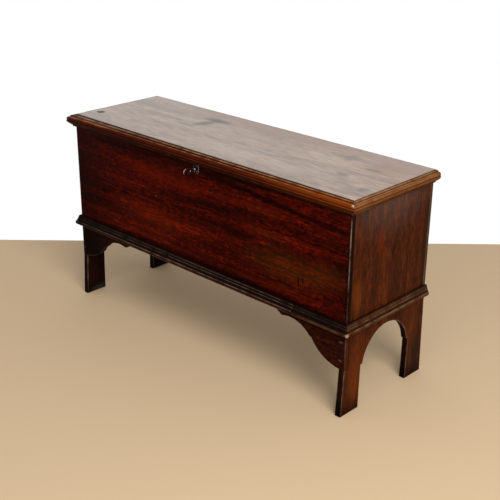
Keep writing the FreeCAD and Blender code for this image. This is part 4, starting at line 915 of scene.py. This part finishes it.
# the shank is (radius, how far behind the front); the bit is (half its thickness, start, end, reach); a ward
# cut is (from, to, depth) along the bit's foot
keySize = {
    "ringY": -197.25, "ringHalf": (11.3, 8.5), "wire": 1.7, "thin": 0.14, "ringSteps": (72, 16),
    "around": 32, "bit": (1.5, 5.0, 11.8, 11.0), "bitTop": 2, "wards": [(1.9, 2.9, 5), (4.9, 5.9, 3.5)],
    "handledFrom": -4, "handled": (0.35, 0.5, 3), "polish": (0.4, 0.6, 0.6),
    "shank": [(3.2, 11.8), (4.0, 11.2), (4.0, -4.3), (4.7, -4.6), (5.6, -5.0), (5.8, -5.6), (5.8, -7.9),
              (5.6, -8.4), (4.6, -8.8), (3.4, -9.4), (3.0, -10.2), (2.9, -18.0), (3.2, -21.5), (3.6, -23.5),
              (3.2, -25.6), (1.6, -26.6)],
}


def keyShells():
    # the shank turns a line of radii about the key's axis; the bow carries a round wire along an ellipse,
    # a little thicker near the shank; the bit is a plate with two ward cuts in its foot
    k, axisZ = keySize, lockSize["keyZ"]
    radii, along = np.array(k["shank"]).T[:, :, None]
    around = np.linspace(0, 2 * math.pi, k["around"], endpoint=False)
    rings = np.stack([radii * np.cos(around), frontY + along + 0 * around,
                      axisZ + radii * np.sin(around)], -1)
    base, swing, beats = k["handled"]
    handled = np.clip((along < k["handledFrom"]) * (base + swing * np.cos(around * beats + along)), 0, 1)
    shank = (rings, {"worn": handled}, False)
    u, v = (np.linspace(0, 2 * math.pi, steps, endpoint=False) for steps in k["ringSteps"])
    u = u[:, None]
    a, b = k["ringHalf"]
    away = np.hypot(b * np.cos(u), a * np.sin(u))
    wire = k["wire"] * (1 - k["thin"] + k["thin"] * np.cos(u))
    reach = wire * np.cos(v) / away
    ring = np.stack([wire * np.sin(v), k["ringY"] + (a + reach * b) * np.cos(u),
                     axisZ + (b + reach * a) * np.sin(u)], -1)
    base, swing, lag = k["polish"]
    polish = np.clip(base + swing * np.cos(v + lag) + 0 * u, 0, 1)
    bow = (ring, {"worn": polish}, True)
    half, start, end, drop = k["bit"]
    line = [(start, k["bitTop"]), (start, drop)]
    for low, high, deep in k["wards"]:
        near, far, up = start + low, start + high, drop - deep
        line += [(near, drop), (near, up), (far, up), (far, drop)]
    line += [(end, drop), (end, k["bitTop"])]
    points = np.array([[(x, frontY + y, axisZ - z) for y, z in line] for x in (-half, half)])
    return [shank, bow, (points, {}, False)]


addPiece("key", keyShells(), "key", ["key"], steel)

# each level of the escutcheon is (share of the way from the hole to the rim, further out, depth, rubbing and
# painted highlight)
escutcheonSize = {
    "half": 10.5, "top": 594.5, "shoulder": 578, "point": 566, "via": (7.1, 570.3), "thick": 1.5,
    "middle": 581, "around": 120, "rimStep": 0.5, "holeStep": 0.3, "rightward": 0.25,
    "levels": [(0, 0.0, 1.5, 0.0), (0, 0.0, 0.4, 0.4), (0, 0.3, 0.15, 0.4), (0.5, 0.0, 0.0, 0.0),
               (1, -0.9, 0.12, 0.1), (1, -0.3, 0.3, 1.0), (1, 0.0, 0.7, 1.0), (1, 0.0, 1.5, 0.4)],
}


def escutcheonShell():
    # rings of points round the keyhole and out to the shield's edge, as far along each direction as the
    # outline goes; the face is slightly crowned and its rim rounded
    e, k = escutcheonSize, lockSize
    half, side, low = e["half"], *e["via"]
    corners = [(half, e["top"]), (-half, e["top"]), (-half, e["shoulder"]), (-side, low, 0, e["point"]),
               (side, low, half, e["shoulder"])]
    shield = outline(corners, e["rimStep"], e["rimStep"])
    slit, foot = k["slitHalf"], k["slitFoot"]
    neck = k["keyZ"] - math.sqrt(k["holeRadius"] ** 2 - slit ** 2)
    corners = [(slit, foot), (slit, neck), (0, k["keyZ"] + k["holeRadius"], -slit, neck), (-slit, foot)]
    hole = outline(corners, e["holeStep"], e["holeStep"])
    angles = np.linspace(-math.pi, math.pi, e["around"], endpoint=False)
    reach = []
    for loop in (hole, shield):
        bearing = np.arctan2(loop[:, 1] - e["middle"], loop[:, 0])
        order = np.argsort(bearing)
        away = np.hypot(loop[:, 0], loop[:, 1] - e["middle"])
        reach.append(np.interp(angles, bearing[order], away[order], period=2 * math.pi))
    inner, outer = reach
    share, extra, deep, rub = np.array(e["levels"]).T[:, :, None]
    away = inner + share * (outer - inner) + extra
    rings = np.stack([away * np.cos(angles), frontY - e["thick"] + deep + 0 * angles,
                      e["middle"] + away * np.sin(angles)], -1)
    # painted highlight: the rubbed shine is laid mostly on the right of the rim, where the light falls
    shine = rub * np.clip(e["rightward"] + np.cos(angles), 0, 1)
    return rings, {"worn": shine}, True


addPiece("escutcheon", [escutcheonShell()], "carcass", ["escutcheon"], steel)
print("key and escutcheon made")

# Stage: pale floor, soft light and the camera of the photograph

cameraSize = {"at": (1.96839, -1.98549, 1.45819), "azimuth": 43.77, "elevation": 22.844, "roll": 0.522,
              "focalPx": 967.92, "picturePx": 500, "horizonPx": 242, "sensorMm": 36}
azimuth, elevation, roll = (math.radians(cameraSize[key]) for key in ("azimuth", "elevation", "roll"))
ahead = Vector((-math.sin(azimuth), math.cos(azimuth), 0))
sideways = Vector((math.cos(azimuth), math.sin(azimuth), 0))
turns = ((azimuth, "Z"), (math.pi / 2 - elevation, "X"), (roll, "Z"))
around, tilt, lean = (Matrix.Rotation(angle, 4, axis) for angle, axis in turns)
camera = newObject("camera", bpy.data.cameras.new("camera"))
camera.data.sensor_width = cameraSize["sensorMm"]
camera.data.lens = cameraSize["sensorMm"] * cameraSize["focalPx"] / cameraSize["picturePx"]
camera.matrix_world = Matrix.Translation(cameraSize["at"]) @ around @ tilt @ lean
bpy.context.scene.camera = camera

# the floor ends where the photograph's floor meets the wall
floorSize = {"colour": "#e1c49e", "half": 5, "rough": 0.7, "shine": 0.2}
dip = elevation - math.atan((cameraSize["picturePx"] / 2 - cameraSize["horizonPx"]) / cameraSize["focalPx"])
edgeAway = cameraSize["at"][2] / math.tan(dip)
ground = Vector((*cameraSize["at"][:2], 0))
wide = floorSize["half"]
places = [(edgeAway, wide), (edgeAway, -wide), (-wide, -wide), (-wide, wide)]
floorMesh = bpy.data.meshes.new("floor")
corners = [ground + ahead * away + sideways * reach for away, reach in places]
floorMesh.from_pydata(corners, [], [(0, 1, 2, 3)])
floor = newObject("floor", floorMesh)
floorMaterial, add = newMaterial("pale floor")[:2]
floorShader = add("BsdfPrincipled", {}, {"Base Color": floorSize["colour"], "Roughness": floorSize["rough"],
                                         "Specular IOR Level": floorSize["shine"]})
add("OutputMaterial", {}, {"Surface": floorShader})
floorMesh.materials.append(floorMaterial)

# white to the camera and in reflections, and a softer light on everything else
ambient = 0.42
world = bpy.data.worlds.new("studio")
bpy.context.scene.world = world
world.use_nodes = True
world.node_tree.nodes.clear()
add = partial(addNode, world.node_tree)
seen = add("LightPath", {}, {}, "Is Camera Ray")
for ray in ("Is Glossy Ray", "Is Transmission Ray"):
    seen = add("Math", {"operation": "MAXIMUM"}, {0: seen, 1: add("LightPath", {}, {}, ray)})
strength = add("MapRange", {}, {"Value": seen, "To Min": ambient, "To Max": 1.0})
sky = add("Background", {}, {"Color": "#ffffff", "Strength": strength})
add("OutputWorld", {}, {"Surface": sky})

lamps = [
    {"name": "overheadRight", "at": (2.7, -1.3, 2.7), "aim": (0.2, 0, 0.3), "size": (1.8, 1.8), "watts": 80},
    {"name": "frontFill", "at": (1.2, -3.3, 2.2), "aim": (0, 0, 0.3), "size": (2.2, 2.2), "watts": 20},
]
for lamp in lamps:
    light = bpy.data.lights.new(lamp["name"], "AREA")
    light.shape = "RECTANGLE"
    light.size, light.size_y = lamp["size"]
    light.energy = lamp["watts"]
    holder = newObject(lamp["name"], light)
    holder.location = lamp["at"]
    holder.rotation_euler = (Vector(lamp["aim"]) - Vector(lamp["at"])).to_track_quat("-Z", "Y").to_euler()

bpy.context.scene.view_settings.view_transform = "Standard"
print("stage made")
